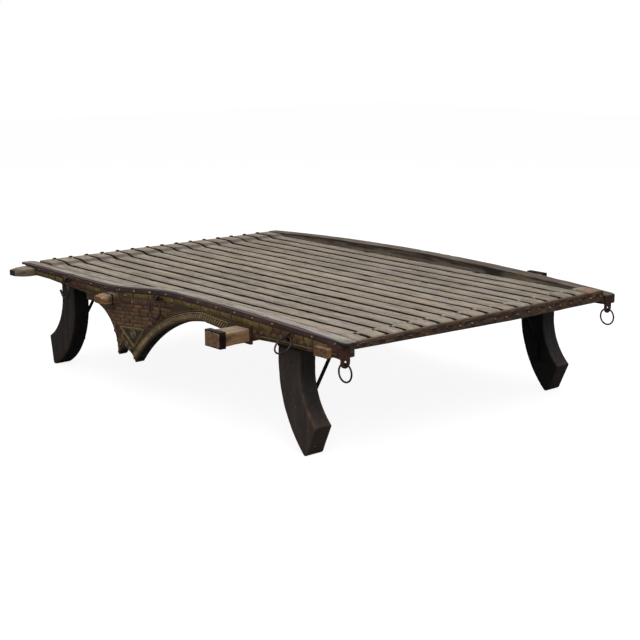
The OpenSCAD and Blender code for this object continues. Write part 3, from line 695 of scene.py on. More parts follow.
def make_carving(side, name):
    """Raised ornament on a rail's outer face."""
    M = Mesh()
    y = side * (RAIL_OUT - 1.4)
    rng = np.random.default_rng(31 if side < 0 else 37)

    def follow(x0, x1, dz, w, h, c, step=12, seed=0, jit=0.25):
        """A raised strip that follows the top line, dz below it."""
        xs = np.arange(x0, x1 + 0.1, step)
        n = len(xs)
        zc = cap_top(side, xs) - dz
        prof = [(-0.5, -1.0), (-0.5, 0.5 * h), (-0.36, h), (0.36, h), (0.5, 0.5 * h), (0.5, -1.0)]
        R = np.array([[[xs[i], y + side * b, zc[i] + a * w] for a, b in prof] for i in range(n)])
        f = (1 - jit + 2 * jit * vn(xs / 22.0, dz, 60 + seed))[:, None, None]
        C = np.tile(c, (n, len(prof), 1)) * f
        # painted shade: the strip's foot, where it meets the face, is painted darker
        C[:, (0, 5)] *= 0.4
        loft(M, R, C, 1)

    # top band, in lengths with small breaks, and the olive panels below it
    x = -846.0
    k = 0
    while x < 996:
        L = min(rng.uniform(150, 260), 1002 - x)
        follow(x, x + L - 1.2, 12.6, 15, 1.6, PURPLE * rng.uniform(0.85, 1.1), 10, k)
        x += L
        k += 1
    x = -846.0
    k = 0
    while x < 930:
        L = rng.uniform(44, 64)
        x1 = min(x + L, 1000)
        if not (-300 < x1 and x < -215):
            green = vn(x / 140.0, 2, 71)
            cc = mix(OLIVE, REDBR * 0.9, ss((green - 0.5) / 0.2) * (0.85 if x < -460 or x > 470 else 0.25)) * rng.uniform(0.8, 1.15)
            follow(x + 1.0, x1 - 1.0, 30.5, 17.5, 2.0, cc, 8, 100 + k)
        x += L
        k += 1
    # third row, red-brown panels, over the bracket
    x = -205.0
    k = 0
    while x < 120:
        L = rng.uniform(50, 74)
        follow(x + 1.2, min(x + L, 170) - 1.2, 51.5, 20, 2.0, mix(REDBR, BROWN, rng.uniform(0, 0.8)) * rng.uniform(0.95, 1.4), 8, 200 + k)
        x += L
        k += 1
    # brick-like rows that follow the top line
    for r in range(6):
        off = 71.0 + 14.2 * r
        x = -338.0 + (r % 2) * 29 + rng.uniform(-5, 5)
        while x < 150:
            L = rng.uniform(50, 66)
            a, b = x + 1.1, x + L - 1.1
            x += L
            # trim to the bracket: clear of its rear edge and of the arch band
            while a < b and float(bracket_low(np.array([a]))[0]) > float(cap_top(side, a)) - off - 7 - 16:
                a += 2
            while b > a and math.hypot(b - 376, float(cap_top(side, b)) - off - 7 + 285) < 657 + 40:
                b -= 2
            if b - a < 14:
                continue
            cc = mix(mix(BROWN * 1.1, REDBR * 1.15, rng.uniform(0, 0.9)), OLIVE * 0.7, rng.uniform(0, 0.5)) * rng.uniform(1.25, 1.85)
            follow(a, b, off, 12.6, 1.9, cc, min(9.0, (b - a) / 2.01), 300 + r)
    # pale mortar lines between the rows
    for r in range(7):
        off = 63.8 + 14.2 * r
        xs = np.arange(-330, 150, 8.0)
        zc = cap_top(side, xs) - off
        keep = (bracket_low(xs) < zc - 14) & (np.hypot(xs - 376, zc + 285) > 657 + 38)
        if keep.sum() > 3:
            xs, zc = xs[keep], zc[keep]
            tube(M, np.column_stack([xs, np.full(len(xs), y + side * 0.5), zc]), 0.8, BEIGE * 0.5, 1, 6, 0.9)
    # vertical strips at the bracket's rear
    for x0, w, z0, z1, cc in ((-232, 13, 352, 404, BEIGE * 0.6), (-339, 10, 344, 396, OLIVE * 1.1), (-268, 7, 300, 352, REDBR * 0.8),
                              (486 - 22, 9, 388, 426, BEIGE * 0.45), (620, 12, 372, 420, REDBR), (668, 10, 370, 420, OLIVE), (884, 10, 372, 410, REDBR)):
        z1 = min(z1, float(cap_top(side, x0)) - 10)
        n = 7
        hh = (z1 - z0) / n
        for k in range(n):
            zc = z0 + hh * (k + 0.5)
            tile(M, [(x0 - w / 2, zc - hh * 0.42), (x0 + w / 2, zc - hh * 0.42 + 1), (x0 + w / 2, zc + hh * 0.42), (x0 - w / 2, zc + hh * 0.42 - 1)],
                 y, 3.0, cc * rng.uniform(0.75, 1.15), 1, 1.4)

    # triangle with a double border, and rings inside it
    tri = np.array([(-222, 262), (-62, 276), (-130, 200.0)])
    cen = tri.mean(0)
    for k, hgt, cc in ((1.0, 3.0, BEIGE * 0.95), (0.78, 2.4, BEIGE * 0.5)):
        q = cen + (tri - cen) * k
        for a, b in ((0, 1), (1, 2), (2, 0)):
            pts = np.linspace(q[a], q[b], 9)
            tube(M, np.column_stack([pts[:, 0], np.full(9, y + side * 0.6), pts[:, 1]]), 2.3 if k == 1 else 1.5, cc, 1, 8, 0.9)
    v = cen + (tri - cen) * 0.74
    M.add([(p[0], y + side * h, p[1]) for h in (-1, 1.0) for p in v],
          [np.array([[2, 1, 0], [3, 4, 5]]), np.array([[0, 1, 4, 3], [1, 2, 5, 4], [2, 0, 3, 5]])], OLIVE * 0.30, 1)
    th = np.linspace(0, 2 * np.pi, 26, endpoint=False)
    for ra, rb, w in ((15.0, 14.5, 2.0), (7.5, 7.0, 1.6)):
        tube(M, np.column_stack([-134 + ra * np.cos(th), np.full(26, y + side * 1.2), 249 + rb * np.sin(th)]), w, BEIGE * 0.85, 1, 8, 0.8, True)
    dome(M, (-134, y + side * 0.6, 249), 3.2, 2.5, (0, side, 0), BEIGE * 0.7, 1)
    # scrolls near the rear tip
    for cx, cz, r0, dirn in ((-214, 212, 15, 1), (-182, 201, 13, -1), (-200, 236, 9, 1), (-160, 186, 9, -1)):
        t = np.linspace(0, 3.6 * np.pi, 34)
        rr = r0 * (1 - t / (4.4 * np.pi))
        P = np.column_stack([cx + dirn * rr * np.cos(t), np.full(34, y + side * 0.9), cz + rr * np.sin(t)])
        tube(M, P, 2.1, mix(REDBR * 1.3, BEIGE, 0.45), 1, 7, 0.9)
    # loops and beads down the concave rear edge
    for k, x in enumerate(np.linspace(-330, -246, 9)):
        z = float(bracket_low(np.array([x]))[0]) + 13
        cc = mix(REDBR * 1.25, BEIGE, 0.3 if k % 2 else 0.6)
        th2 = np.linspace(0, 2 * np.pi, 14, endpoint=False)
        tube(M, np.column_stack([x + 6 + 6.5 * np.cos(th2), np.full(14, y + side * 0.8), z + 5.5 * np.sin(th2)]), 1.7, cc, 1, 7, 0.9, True)

    # arch: inner bead, slanted teeth, outer bead, plain border
    def arch(r, a):
        x = 376 - r * math.cos(a)
        return x, -285 + r * math.sin(a) + float(arch_drop(x))

    a0, a1 = math.radians(41.0), math.radians(96.0)
    if True:
        for rr, w, cc in ((657 + 8.5, 2.1, BEIGE * 0.62), (657 + 30, 2.3, BEIGE * 0.85), (657 + 37.5, 1.6, OLIVE * 0.8)):
            t = np.linspace(a0 + (rr - 657) * 0.0002, a1, 110)
            P = np.array([(arch(rr, k)[0], y + side * 0.7, arch(rr, k)[1]) for k in t])
            P = P[P[:, 2] < near_top(P[:, 0]) - 12] if side < 0 else P[P[:, 2] < far_top(P[:, 0]) - 12]
            tube(M, P, w, cc, 1, 8, 0.95)
        nt = 52
        for k in range(nt):
            t = a0 + (a1 - a0) * (k + 0.5) / nt
            dt = (a1 - a0) / nt * 0.25
            sl = (a1 - a0) / nt * 0.42
            q = [arch(657 + 11.5, t - dt - sl), arch(657 + 11.5, t + dt - sl), arch(657 + 26.5, t + dt + sl), arch(657 + 26.5, t - dt + sl)]
            cc = mix(BEIGE, mix(REDBR * 1.2, OLIVE, vn(k / 5.0, 1, 12)), 0.25 + 0.5 * vn(k / 3.0, 0, 5)) * (0.75 + 0.5 * vn(k * 1.7, 3, 5))
            tile(M, q, y, 4.4, cc * 1.55, 1, 0.8)
    # plain bead along the rear part of the rail and the front lower edge
    xs = np.arange(-846, -462, 12)
    tube(M, np.column_stack([xs, np.full(len(xs), y + side * 0.6), rail_low(side, xs) + 6]), 2.2, BROWN * 0.9, 1, 7, 0.9)
    xs = np.arange(600, 1000, 12)
    tube(M, np.column_stack([xs, np.full(len(xs), y + side * 0.6), rail_low(side, xs) + 12]), 2.4, mix(OLIVE, BEIGE, 0.3) * 0.7, 1, 7, 0.9)
    # small scroll leaves along the front part
    for k, x in enumerate(np.arange(590, 990, 34)):
        z = float(rail_low(side, np.array([x]))[0]) + 24
        t = np.linspace(0, 2.6 * np.pi, 18)
        rr = 9 * (1 - t / (3.4 * np.pi))
        d = 1 if k % 2 else -1
        if float(cap_top(side, np.array([x]))[0]) - z > 34:
            tube(M, np.column_stack([x + d * rr * np.cos(t), np.full(18, y + side * 0.8), z + rr * np.sin(t) * 0.8]), 1.7,
                 mix(REDBR * 1.2, BEIGE, 0.5) * 0.8, 1, 7, 0.9)
    return M.build(name, [M_CARVE, M_CARVE])


def make_studs(side, name):
    M = Mesh()
    y = side * (RAIL_OUT + 0.2)
    rng = np.random.default_rng(5 if side < 0 else 6)
    gold = np.array([0.72, 0.58, 0.36])
    silver = np.array([0.74, 0.68, 0.58])

    def put(x, z, r=5.4, h=4.2):
        r, h = r * 0.86, h * 0.8
        lit = 0.35 + 0.5 * rng.uniform(0, 1) if -250 < x < 480 else 0.22 + 0.2 * rng.uniform(0, 1)
        dome(M, (x, y, z), r, h, (0, side, 0), mix(gold, silver, rng.uniform(0, 1)) * lit, 0, 12)
        # sunk washer round the stud
        th = np.linspace(0, 2 * np.pi, 14, endpoint=False)
        tube(M, np.column_stack([x + (r + 1.3) * np.cos(th), np.full(14, y + side * 0.2), z + (r + 1.3) * np.sin(th)]), 0.9,
             np.array([0.25, 0.17, 0.09]), 0, 6, 0.9, True)

    for k, x in enumerate(np.arange(-817, 990, 100)):
        if abs(x + 579) < 16 or abs(x - 776) < 20:
            continue
        put(x + rng.uniform(-4, 4), float(cap_top(side, x)) - 12.5, 4.9, 4.0)
    for x in np.arange(-379, 330, 100.5):
        if not -300 < x < -222:
            put(x + rng.uniform(-3, 3), float(cap_top(side, x)) - 31, 4.2, 3.4)
    for x in (-135, 20):
        put(x, float(cap_top(side, x)) - 53, 4.2, 3.4)
    for x, z in ((-282, 290), (-269, 272), (-127, 176), (-225, 192), (-258, 240)):
        put(x, z, 4.6, 3.6)
    return M.build(name, [M_BRASS])


# ---------------------------------------------------------------- caps
def make_cap(side, name, node):
    M = Mesh()
    x1 = 1034.0 if side < 0 else 1014.0
    s0 = 900 if side < 0 else 950
    xs = np.concatenate([np.arange(-966, -930, 3.0), np.arange(-930, x1 - 30, 6.0), np.arange(x1 - 30, x1 - 0.5, 2.0), [x1 - 0.2]])
    n = len(xs)
    zt = cap_top(side, xs) - 0.4
    zb = zt - 4.4 - 3.2 * ss((-925 - xs) / 14) * (xs < -925) - 3.2 * ss((xs - 1006) / 10)
    # end curls down at the front of the near strip
    u = np.array([0, 0.0, 0.035, 0.14, 0.3, 0.5, 0.62, 0.68, 0.72, 0.76, 0.82, 0.9, 0.965, 1.0, 1.0, 0.75, 0.25])
    e = np.array([0.0, 0.62, 0.9, 1.0, 1.0, 1.02, 1.0, 1.0, 1.0, 1.0, 1.0, 1.0, 0.9, 0.62, 0.0, -0.0, -0.0])
    K = len(u)
    X = np.tile(xs[:, None], (1, K))
    wi = RAIL_IN + 0.4 + 1.0 * fbm(xs / 40.0, 0, s0, 3)
    wo = RAIL_OUT + 1.6 - 1.4 * fbm(xs / 46.0, 0, s0 + 1, 3)
    rng = np.random.default_rng(s0)
    for k in range(9):
        cx, cw, cd = rng.uniform(-900, 1000), rng.uniform(10, 44), rng.uniform(1.5, 4.0)
        wo = wo - cd * np.clip(1 - np.abs((xs - cx) / cw) ** 1.5, 0, 1)
    tip = np.clip((xs - (x1 - 24)) / 24, 0, 1)
    tip0 = np.clip((-948 - xs) / 18, 0, 1)
    wi = wi + 7 * tip ** 3 + 12 * tip0 ** 2.2
    wo = wo - 9 * tip ** 3 - 5 * tip0 ** 2.2
    Y = wi[:, None] + (wo - wi)[:, None] * u[None]
    th = (zt - zb)[:, None]
    Z = zb[:, None] + th * np.clip(e, 0, 1)[None]
    top = (e > 0.5)[None]
    rel = (fbm(X / 80.0, Y / 4.5, s0 + 2, 3) - 0.5) * 1.3
    Z = Z + np.where(top, rel - 0.55, 0)
    # long splits near both ends
    for cy, xa, xb, dep in ((640, 880, x1, 2.6), (656, 930, x1, 2.2), (648, -966, -860, 2.0), (662, 120, 420, 1.5), (634, -420, -160, 1.4)):
        cyx = cy + 3 * np.sin(X / 31.0)
        g = np.exp(-((Y - cyx) / 4.5) ** 2) * ss((X - xa) / 40) * (1 - ss((X - xb + 4) / 30))
        Z = Z - np.where(top, g * dep, 0)
    c = np.tile(mix(GREY, srgb(150, 148, 144), 0.5), (n, K, 1)) * 1.02
    c = mix(c, TAN, ss((fbm(X / 150.0, Y / 26.0, s0 + 5, 3) - 0.54) / 0.14) * 0.5)
    c = mix(c, DARKGREY, ss((fbm(X / 60.0, Y / 7.0, s0 + 6, 4) - 0.52) / 0.14) * 0.65)
    c = mix(c, LIGHT * 1.04, ss((fbm(X / 110.0, Y / 6.0, s0 + 7, 3) - 0.56) / 0.12) * 0.6)
    c = mix(c, BROWN, ss((X - (x1 - 60)) / 50) * 0.5)
    # painted shade: the cap's edge faces and underside are painted dark; the top is also darker along its outer edge
    low_side = (e < 0.95) | (u > 0.99)
    c = np.where(low_side[None, :, None], DARK * 0.55, c)
    c = mix(c, DARK * 0.7, np.where(((u > 0.93) & ~low_side)[None], 0.6, 0.0))
    if side < 0:
        # the outer part is the rail's own dark edge, stained like its face
        wd = 1.0 * (1 - ss((X - 800) / 180)) * ss((X + 966) / 60)
        lim = 0.70 + 0.24 * (1 - wd) - 0.05 * ss(np.abs(X - 640) / 500) * 0
        outer = ss((u[None] - lim) / 0.04)
        edge_col = PURPLE * (0.8 + 0.5 * fbm(X / 40.0, Y / 8.0, s0 + 12, 3))[..., None]
        c = mix(c, edge_col, outer * top)
        # painted shadow: a black line along the inner edge of the dark band, where the cap's edge would throw its
        # shadow
        c = mix(c, BLACK, ss(1 - np.abs(u[None] - lim - 0.03) / 0.075) * 0.95 * top)
    if side > 0:
        dull = mix(DARK * 1.2, BROWN, fbm(X / 60.0, Y / 20.0, s0 + 9, 3))
        dull = mix(dull, GREY * 0.6, ss((fbm(X / 120.0, Y / 9.0, s0 + 10, 3) - 0.48) / 0.2) * 0.7)
        c = mix(c, dull, 0.85)
    R = np.stack([X, side * Y, Z], -1)
    loft(M, R, c, 0, capc=np.stack([DARK, BROWN * 0.8]))
    return M.build(name, [M_CAP], replaces=[node])


# ---------------------------------------------------------------- timbers
def wood_cols(base, alt, dark, seed, wear=None, light_top=None):
    def f(U, p, q, cor, d):
        c = np.tile(base, U.shape + (1,))
        ang = np.arctan2(q, p)
        c = mix(c, alt, ss((fbm(U / 120.0, ang * 2.2, seed + 1, 3) - 0.48) / 0.2) * 0.8)
        c = mix(c, dark, ss((fbm(U / 60.0, ang * 5.0, seed + 2, 4) - 0.54) / 0.14) * 0.7)
        if light_top is not None:
            c = mix(c, light_top, ss((q - np.abs(q).max() * 0.82) / 2.0) * 0.8)
        if wear is not None:
            c = mix(c, wear, cor * (0.25 + 0.6 * vn(U / 30.0, ang, seed + 3)))
        # black under the slats, where no light reaches
        c = np.where(((np.abs(U) < 619) & (q > np.abs(q).max() * 0.8))[..., None], BLACK * 0.6, c)
        return c
    return f


def make_cross():
    # rear beam, with tips that taper and round off
    M = Mesh()

    def taper(u):
        t = np.clip((np.abs(u) - 690) / 66, 0, 1)
        return np.column_stack([1 - 0.42 * t ** 1.6, 1 - 0.30 * t ** 2])

    timber(M, 1, -756, 756, (-895, 379), 80, 34, 5, 8, wood_cols(srgb(120, 104, 84), srgb(96, 72, 52), DARK, 41, TAN, srgb(150, 138, 118)), 41, 0.9,
           taper, capc=np.stack([BROWN * 0.6, BROWN * 0.6]))
    M.build("rear_beam", [M_CROSS], replaces=["beam_rear"])
    # front beam, with a smaller stub through the near rail
    M = Mesh()
    cols = wood_cols(srgb(140, 106, 76), srgb(116, 82, 58), DARK, 43, srgb(168, 134, 100), srgb(140, 116, 90))
    timber(M, 1, -617.5, 617.5, (962.5, 391), 75, 30, 3, 7, cols, 43, 0.8, capc=np.stack([BROWN * 0.6] * 2))
    for v in M.v:
        v[:, 2] = np.maximum(v[:, 2], np.where(v[:, 2] < 392, fascia_low(v[:, 1]) + 1.6, 0))
    timber(M, 1, -694.4, -614, (939.5, 381.5), 65, 31, 3, 5, cols, 44, 0.9, capc=np.stack([srgb(124, 92, 66), BROWN]))
    M.build("front_beam", [M_CROSS], replaces=["beam_front"])
    for nm, x0, x1, z0, yr, sd in (("rear", -718, -624, 342, 617.5, 51), ("middle", -290, -225, 346, 748, 53),
                                   ("main", 503, 578, 346, 812, 55), ("front", 658, 770, 342, 617.5, 57)):
        M = Mesh()
        tp = None
        xc, zc, w, h = (x0 + x1) / 2, (z0 + 386) / 2, x1 - x0, 386 - z0
        if nm == "middle":
            def tp(u):
                t = np.clip((np.abs(u) - 700) / 48, 0, 1)
                return np.column_stack([1 - 0.22 * t ** 2, 1 - 0.34 * t ** 2])
            grey = wood_cols(srgb(84, 66, 52), srgb(72, 54, 42), srgb(40, 30, 25), sd, srgb(128, 106, 82), srgb(126, 112, 92))
            warm = wood_cols(srgb(150, 112, 74), srgb(150, 92, 60), srgb(92, 62, 42), sd, srgb(170, 140, 104), srgb(146, 126, 98))

            def cols(U, p, q, cor, d):
                t = ss((np.abs(U) - 716) / 6)[..., None]
                return grey(U, p, q, cor, d) * (1 - t) + warm(U, p, q, cor, d) * t
            timber(M, 1, -yr, yr, (xc, zc), w, h, 9, 5, cols, sd, 1.0, tp, capc=np.stack([srgb(146, 98, 62)] * 2))
            # iron eye round the root of each stub, and a darker iron band beside it that stands in for the shade under
            # the eye (painted shade)
            for sg in (-1, 1):
                for y0, y1, xa, xb, za, zb, cc in ((700, 706, -288, -227, 347.5, 386, srgb(96, 84, 72)),
                                                   (692, 700, -262, -238, 352, 384, srgb(128, 116, 92))):
                    P = np.array([(xa, za), (xb, za), (xb, zb), (xa, zb)])
                    Rr = np.array([[(px + dx, sg * yy, pz + dz) for (px, pz), (dx, dz) in zip(P, ((-g, -g * 0.4), (g, -g * 0.4), (g, 0), (-g, 0)))]
                                   for yy, g in ((y0, 0.3), (y0 + 0.6, 1.6), (y1 - 0.6, 1.6), (y1, 0.3))])
                    loft(M, Rr, cc, 1)
        elif nm == "main":
            cols = wood_cols(srgb(136, 106, 78), srgb(154, 120, 86), srgb(84, 60, 44), sd, srgb(166, 136, 106), srgb(150, 134, 114))
            timber(M, 1, -617, 617, (xc, zc), w, h, 3, 9, cols, sd, 0.7, capc=np.stack([BROWN * 0.6] * 2))
            for sg in (-1, 1):
                ya, yb = sorted((sg * 614.0, sg * yr))
                timber(M, 1, ya, yb, (xc, (z0 + 393) / 2), w, 393 - z0, 4.5, 5, cols, sd + 2 + sg, 1.0, capc=np.stack([srgb(138, 104, 78)] * 2))
        else:
            cols = wood_cols(BROWN * 0.8, srgb(88, 68, 52), DARK, sd, STUB * 0.7)
            timber(M, 1, -yr, yr, (xc, zc), w, h, 4.5, 9, cols, sd, 0.7, capc=np.stack([BROWN * 0.5] * 2))
            timber(M, 1, -634.6, 634.6, (xc, 346.2), w - 0.6, 7.2, 1.0, 12, cols, sd + 1, 0.2, capc=np.stack([BROWN * 0.4] * 2))
        M.build("bearer_%s_timber" % nm, [M_CROSS, M_IRON], replaces=["bearer_" + nm])


def fascia_low(y):
    """Lower edge of the fascia: it rises towards the near side."""
    return 374.6 + 15.5 * np.clip((100 - np.asarray(y, float)) / 718.0, 0, 1)


def make_fascia():
    M = Mesh()
    ys = np.arange(-617, 617.1, 9.0)
    n = len(ys)
    zz = np.array([374.6, 377, 383, 390, 397, 402, 405.4])
    K = len(zz)
    Y = np.tile(ys[:, None], (1, K))
    Z = np.tile(zz[None], (n, 1)) + (fbm(Y / 60.0, zz[None] / 9, 77, 3) - 0.5) * 1.2 * np.array([1, 0.6, 0, 0, 0, 0.6, 1])[None]
    Z = np.clip(Z, 374.2, 405.8)
    lowz = fascia_low(Y)
    Z = lowz + (Z - 374.2) * (405.8 - lowz) / 31.6
    Xo = 1004.6 + (fbm(Y / 40.0, Z / 12.0, 78, 3) - 0.5) * 1.6 - np.where((zz < 376) | (zz > 404), 1.2, 0)[None]
    Xi = np.full_like(Xo, 1000.0)
    R = np.concatenate([np.stack([Xo, Y, Z], -1), np.stack([Xi, Y, Z], -1)[:, ::-1]], 1)
    c = np.tile(srgb(84, 66, 54), (n, K, 1))
    c = mix(c, srgb(52, 38, 34), ss((fbm(Y / 46.0, Z / 12.0, 79, 4) - 0.46) / 0.2) * 0.8)
    c = mix(c, srgb(120, 84, 58), ss((fbm(Y / 30.0, Z / 8.0, 80, 4) - 0.58) / 0.12) * 0.7)
    C = np.concatenate([c, c[:, ::-1]], 1)
    loft(M, R, C, 0, strip=[(i, 2 * K - 1 - i) for i in range(K)])
    M.build("fascia_plate", [wood("fascia_finish", (60, 30, 60), (0.4, 0.7), 0.2, 0.5, spec=0.5)], replaces=["front_fascia"])
    M = Mesh()
    rng = np.random.default_rng(8)
    for k in range(22):
        y = -600 + 57.2 * k
        if y > 610:
            break
        z = (float(fascia_low(y)) + 414) / 2 - 2.5 + rng.uniform(-1.5, 1.5)
        lit = 0.22 + 0.5 * ss(np.array([(y + 330) / 300.0]))[0] * rng.uniform(0.35, 1.0)
        dome(M, (1004.6, y, z), 5.2, 3.4, (1, 0, 0), np.array([0.62, 0.47, 0.20]) * lit, 0, 14)
        th = np.linspace(0, 2 * np.pi, 16, endpoint=False)
        tube(M, np.column_stack([np.full(16, 1004.6), y + 6.6 * np.cos(th), z + 6.6 * np.sin(th)]), 0.9, np.array([0.10, 0.07, 0.04]), 0, 6, 0.9, True, up=(1.0, 0, 0))
    M.build("fascia_studs", [M_BRASS])


# ---------------------------------------------------------------- legs
LEG_FRONT = (658.0, 417.8, 300.0, 770.0, 235.5, 280.0, 105.0)
LEG_REAR = (624.0, 294.5, 265.0, 718.0, 210.6, 300.0, 115.0)


def leg_mesh(L7):
    """A leg around y = 0, outline as in the CAD."""
    M = Mesh()
    n = 46
    ci, ri = (L7[0] + L7[1], L7[2]), L7[1]
    co, ro = (L7[3] + L7[4], L7[5]), L7[4]
    rings, cols = [], []
    S, T = 12, 7
    for i in range(n):
        u = i / (n - 1)
        zi = 341.8 - 341.8 * u
        zo = 341.8 - (341.8 - L7[6]) * u ** 0.94
        xi = L7[0] if zi > L7[2] else ci[0] - math.sqrt(ri ** 2 - (ci[1] - zi) ** 2)
        xo = L7[3] if zo > L7[5] else co[0] - math.sqrt(ro ** 2 - (co[1] - zo) ** 2)
        A, B = np.array([xi, zi]), np.array([xo, zo])
        # foot: the cut starts with a small flat and then rises to the toe
        w = ss(np.array([(u - 0.90) / 0.10]))[0]
        F = A + np.array([16.0, 0.0])
        s = np.linspace(0, 1, S)
        L = np.linalg.norm(B - A)
        straight = A[None] + (B - A)[None] * s[:, None]
        k = 0.14
        bent = np.where((s < k)[:, None], A[None] + (F - A)[None] * (s / k)[:, None], F[None] + (B - F)[None] * ((s - k) / (1 - k))[:, None])
        line = straight * (1 - w) + bent * w
        # rounded long edges: pull the first and last points of each side in
        r = 3.2
        y0, y1 = -34.6, 34.6
        face_y = [y0] * S
        ring = []
        wearv = []
        dirv = (B - A) / L
        for j in range(S):          # face at -y
            p = line[j].copy()
            if j == 0:
                p = p + dirv * r
            if j == S - 1:
                p = p - dirv * r
            ring.append((p[0], y0, p[1]))
            wearv.append(1.0 if j in (0, S - 1) else 0.0)
        for j in range(T):          # outer edge face, -y to +y
            t = j / (T - 1)
            y = y0 + r * 0.8 + (y1 - y0 - 1.6 * r) * t
            p = line[-1]
            ring.append((p[0], y, p[1]))
            wearv.append(0.9 if j in (0, T - 1) else 0.0)
        for j in range(S - 1, -1, -1):
            p = line[j].copy()
            if j == 0:
                p = p + dirv * r
            if j == S - 1:
                p = p - dirv * r
            ring.append((p[0], y1, p[1]))
            wearv.append(1.0 if j in (0, S - 1) else 0.0)
        for j in range(T - 1, -1, -1):
            t = j / (T - 1)
            y = y0 + r * 0.8 + (y1 - y0 - 1.6 * r) * t
            p = line[0]
            ring.append((p[0], y, p[1]))
            wearv.append(0.9 if j in (0, T - 1) else 0.0)
        rings.append(ring)
        cols.append(wearv)
    R = np.array(rings)
    W = np.array(cols)
    K = R.shape[1]
    cen = R.mean(1, keepdims=True)
    N = R - cen
    N /= np.linalg.norm(N, axis=2, keepdims=True)
    ui = np.arange(n)[:, None] * np.ones((1, K))
    kk = np.arange(K)[None] * np.ones((n, 1))
    d = (fbm(ui / 5.0, np.sin(kk / K * 2 * np.pi) * 4 + 9, 91, 3) - 0.5) * 0.9 - 0.5 - W * 0.9 * vn(ui / 1.7, kk, 92)
    R = R + N * d[..., None] * np.array([1, 1, 0.4])
    R[..., 2] = np.clip(R[..., 2], 0.05, 341.9)
    Z = R[..., 2]
    c = np.tile(BLACKW * 0.98, (n, K, 1))
    c = c * (0.8 + 0.45 * fbm(ui / 6.0, kk / 3.0, 93, 3))[..., None]
    low = 1 - ss((Z - 60) / 170)
    # painted shade under the deck: the outer edge face darkens upwards, and the inner edge face is painted near black
    jj = np.arange(K)
    face_o = (jj >= S) & (jj < S + T)
    face_i = jj >= 2 * S + T
    up = ss((Z - 100) / 90)
    c = c * np.where(face_o[None], 1 - 0.75 * up, 1.0)[..., None]
    c = c * np.where(face_i[None], 0.12, 1.0)[..., None]
    c = mix(c, srgb(118, 74, 44), W * (0.15 + 0.85 * vn(ui / 2.2, kk / 2.0, 94)) * (0.25 + 0.75 * low))
    c = mix(c, srgb(80, 56, 40), ss((fbm(ui / 4.0, kk / 4.0, 95, 3) - 0.56) / 0.12) * 0.5 * (0.3 + 0.7 * low))
    pairs = []
    # strips across the cut foot: -y face sample j pairs with +y face sample j
    for j in range(S):
        pairs.append((j, S + T + (S - 1 - j)))
    loft_leg(M, R, c, S, T)
    return M


def loft_leg(M, R, C, S, T):
    n, K, _ = R.shape
    idx = np.arange(n * K).reshape(n, K)
    a, b = idx[:-1], idx[1:]
    quads = [np.stack([a, np.roll(a, -1, 1), np.roll(b, -1, 1), b], -1).reshape(-1, 4)]
    v, c = [R.reshape(-1, 3)], [C.reshape(-1, 3)]
    base = n * K
    for e, flip in ((0, True), (n - 1, False)):
        # grid across: rows follow the side samples, columns go across in y
        left = idx[e][:S]
        right = idx[e][S + T:S + T + S][::-1]
        inner = idx[e][S + T + S:][::-1]      # -y to +y along the inner edge
        outer = idx[e][S:S + T]
        grid = np.zeros((S, T), int)
        rows = []
        for j in range(S):
            row = []
            for t in range(T):
                if j == 0:
                    row.append(inner[t])
                elif j == S - 1:
                    row.append(outer[t])
                else:
                    f = t / (T - 1)
                    p = R[e][j] * (1 - f) + R[e][S + T + (S - 1 - j)] * f
                    v.append(p[None])
                    c.append((C[e][j] * 0.5 + np.asarray(BROWN) * 0.35)[None])
                    row.append(base)
                    base += 1
            rows.append(row)
        f = []
        tri = []
        for j in range(S - 1):
            for t in range(T - 1):
                f.append([rows[j][t], rows[j][t + 1], rows[j + 1][t + 1], rows[j + 1][t]])
        # seams between the side samples and the grid's outer columns
        side_l = list(left)
        side_r = list(right)
        for j in range(S - 1):
            f.append([side_l[j], rows[j][0], rows[j + 1][0], side_l[j + 1]])
            f.append([rows[j][T - 1], side_r[j], side_r[j + 1], rows[j + 1][T - 1]])
        f = np.array(f)
        quads.append(f[:, ::-1] if flip else f)
    M.add(np.concatenate(v), [np.concatenate(quads)], np.concatenate(c), 0)


def make_legs():
    for fr in (1, -1):
        M0 = leg_mesh(LEG_FRONT if fr > 0 else LEG_REAR)
        for sd in (-1, 1):
            nm = "leg_%s_%s" % ("front" if fr > 0 else "rear", "near" if sd < 0 else "far")
            M = Mesh()
            v = np.concatenate(M0.v)
            v = v * [fr, 1, 1] + [0, sd * 600.0, 0]
            q = np.concatenate(M0.f)
            col = np.concatenate(M0.c)
            # painted shade under the deck: the far legs are painted at half brightness with their inner face near
            # black; the near rear leg is painted darker as well
            if sd > 0:
                face = (v[:, 1] < 566.5) & (v[:, 1] > 564)
                col = np.where(face[:, None], col * 0.05, col * 0.5)
            elif fr < 0:
                col = col * 0.55
            M.add(v, [q], col, 0)
            # a few nail heads and chips on the outer face
            for k in range(9):
                zz = 40 + 285 * ((k * 0.618 + 0.13 * fr + 0.2 * sd) % 1.0)
                lo_x = 664 + 0.9 * max(0.0, 300 - zz) * max(0.0, 300 - zz) / 500.0
                xx = (lo_x + 22 + 50 * ((k * 0.37) % 1.0)) if fr > 0 else -(630 + 0.0021 * max(0.0, 265 - zz) ** 2 + 20 + 42 * ((k * 0.41) % 1.0))
                dome(M, (xx, sd * 634.2, zz), 1.7, 0.9, (0, sd, 0), srgb(150, 128, 100) * (0.4 + 0.6 * ((k * 0.73) % 1.0)), 0, 8)
            M.build(nm + "_wood", [M_LEG], replaces=[nm], smooth=45)


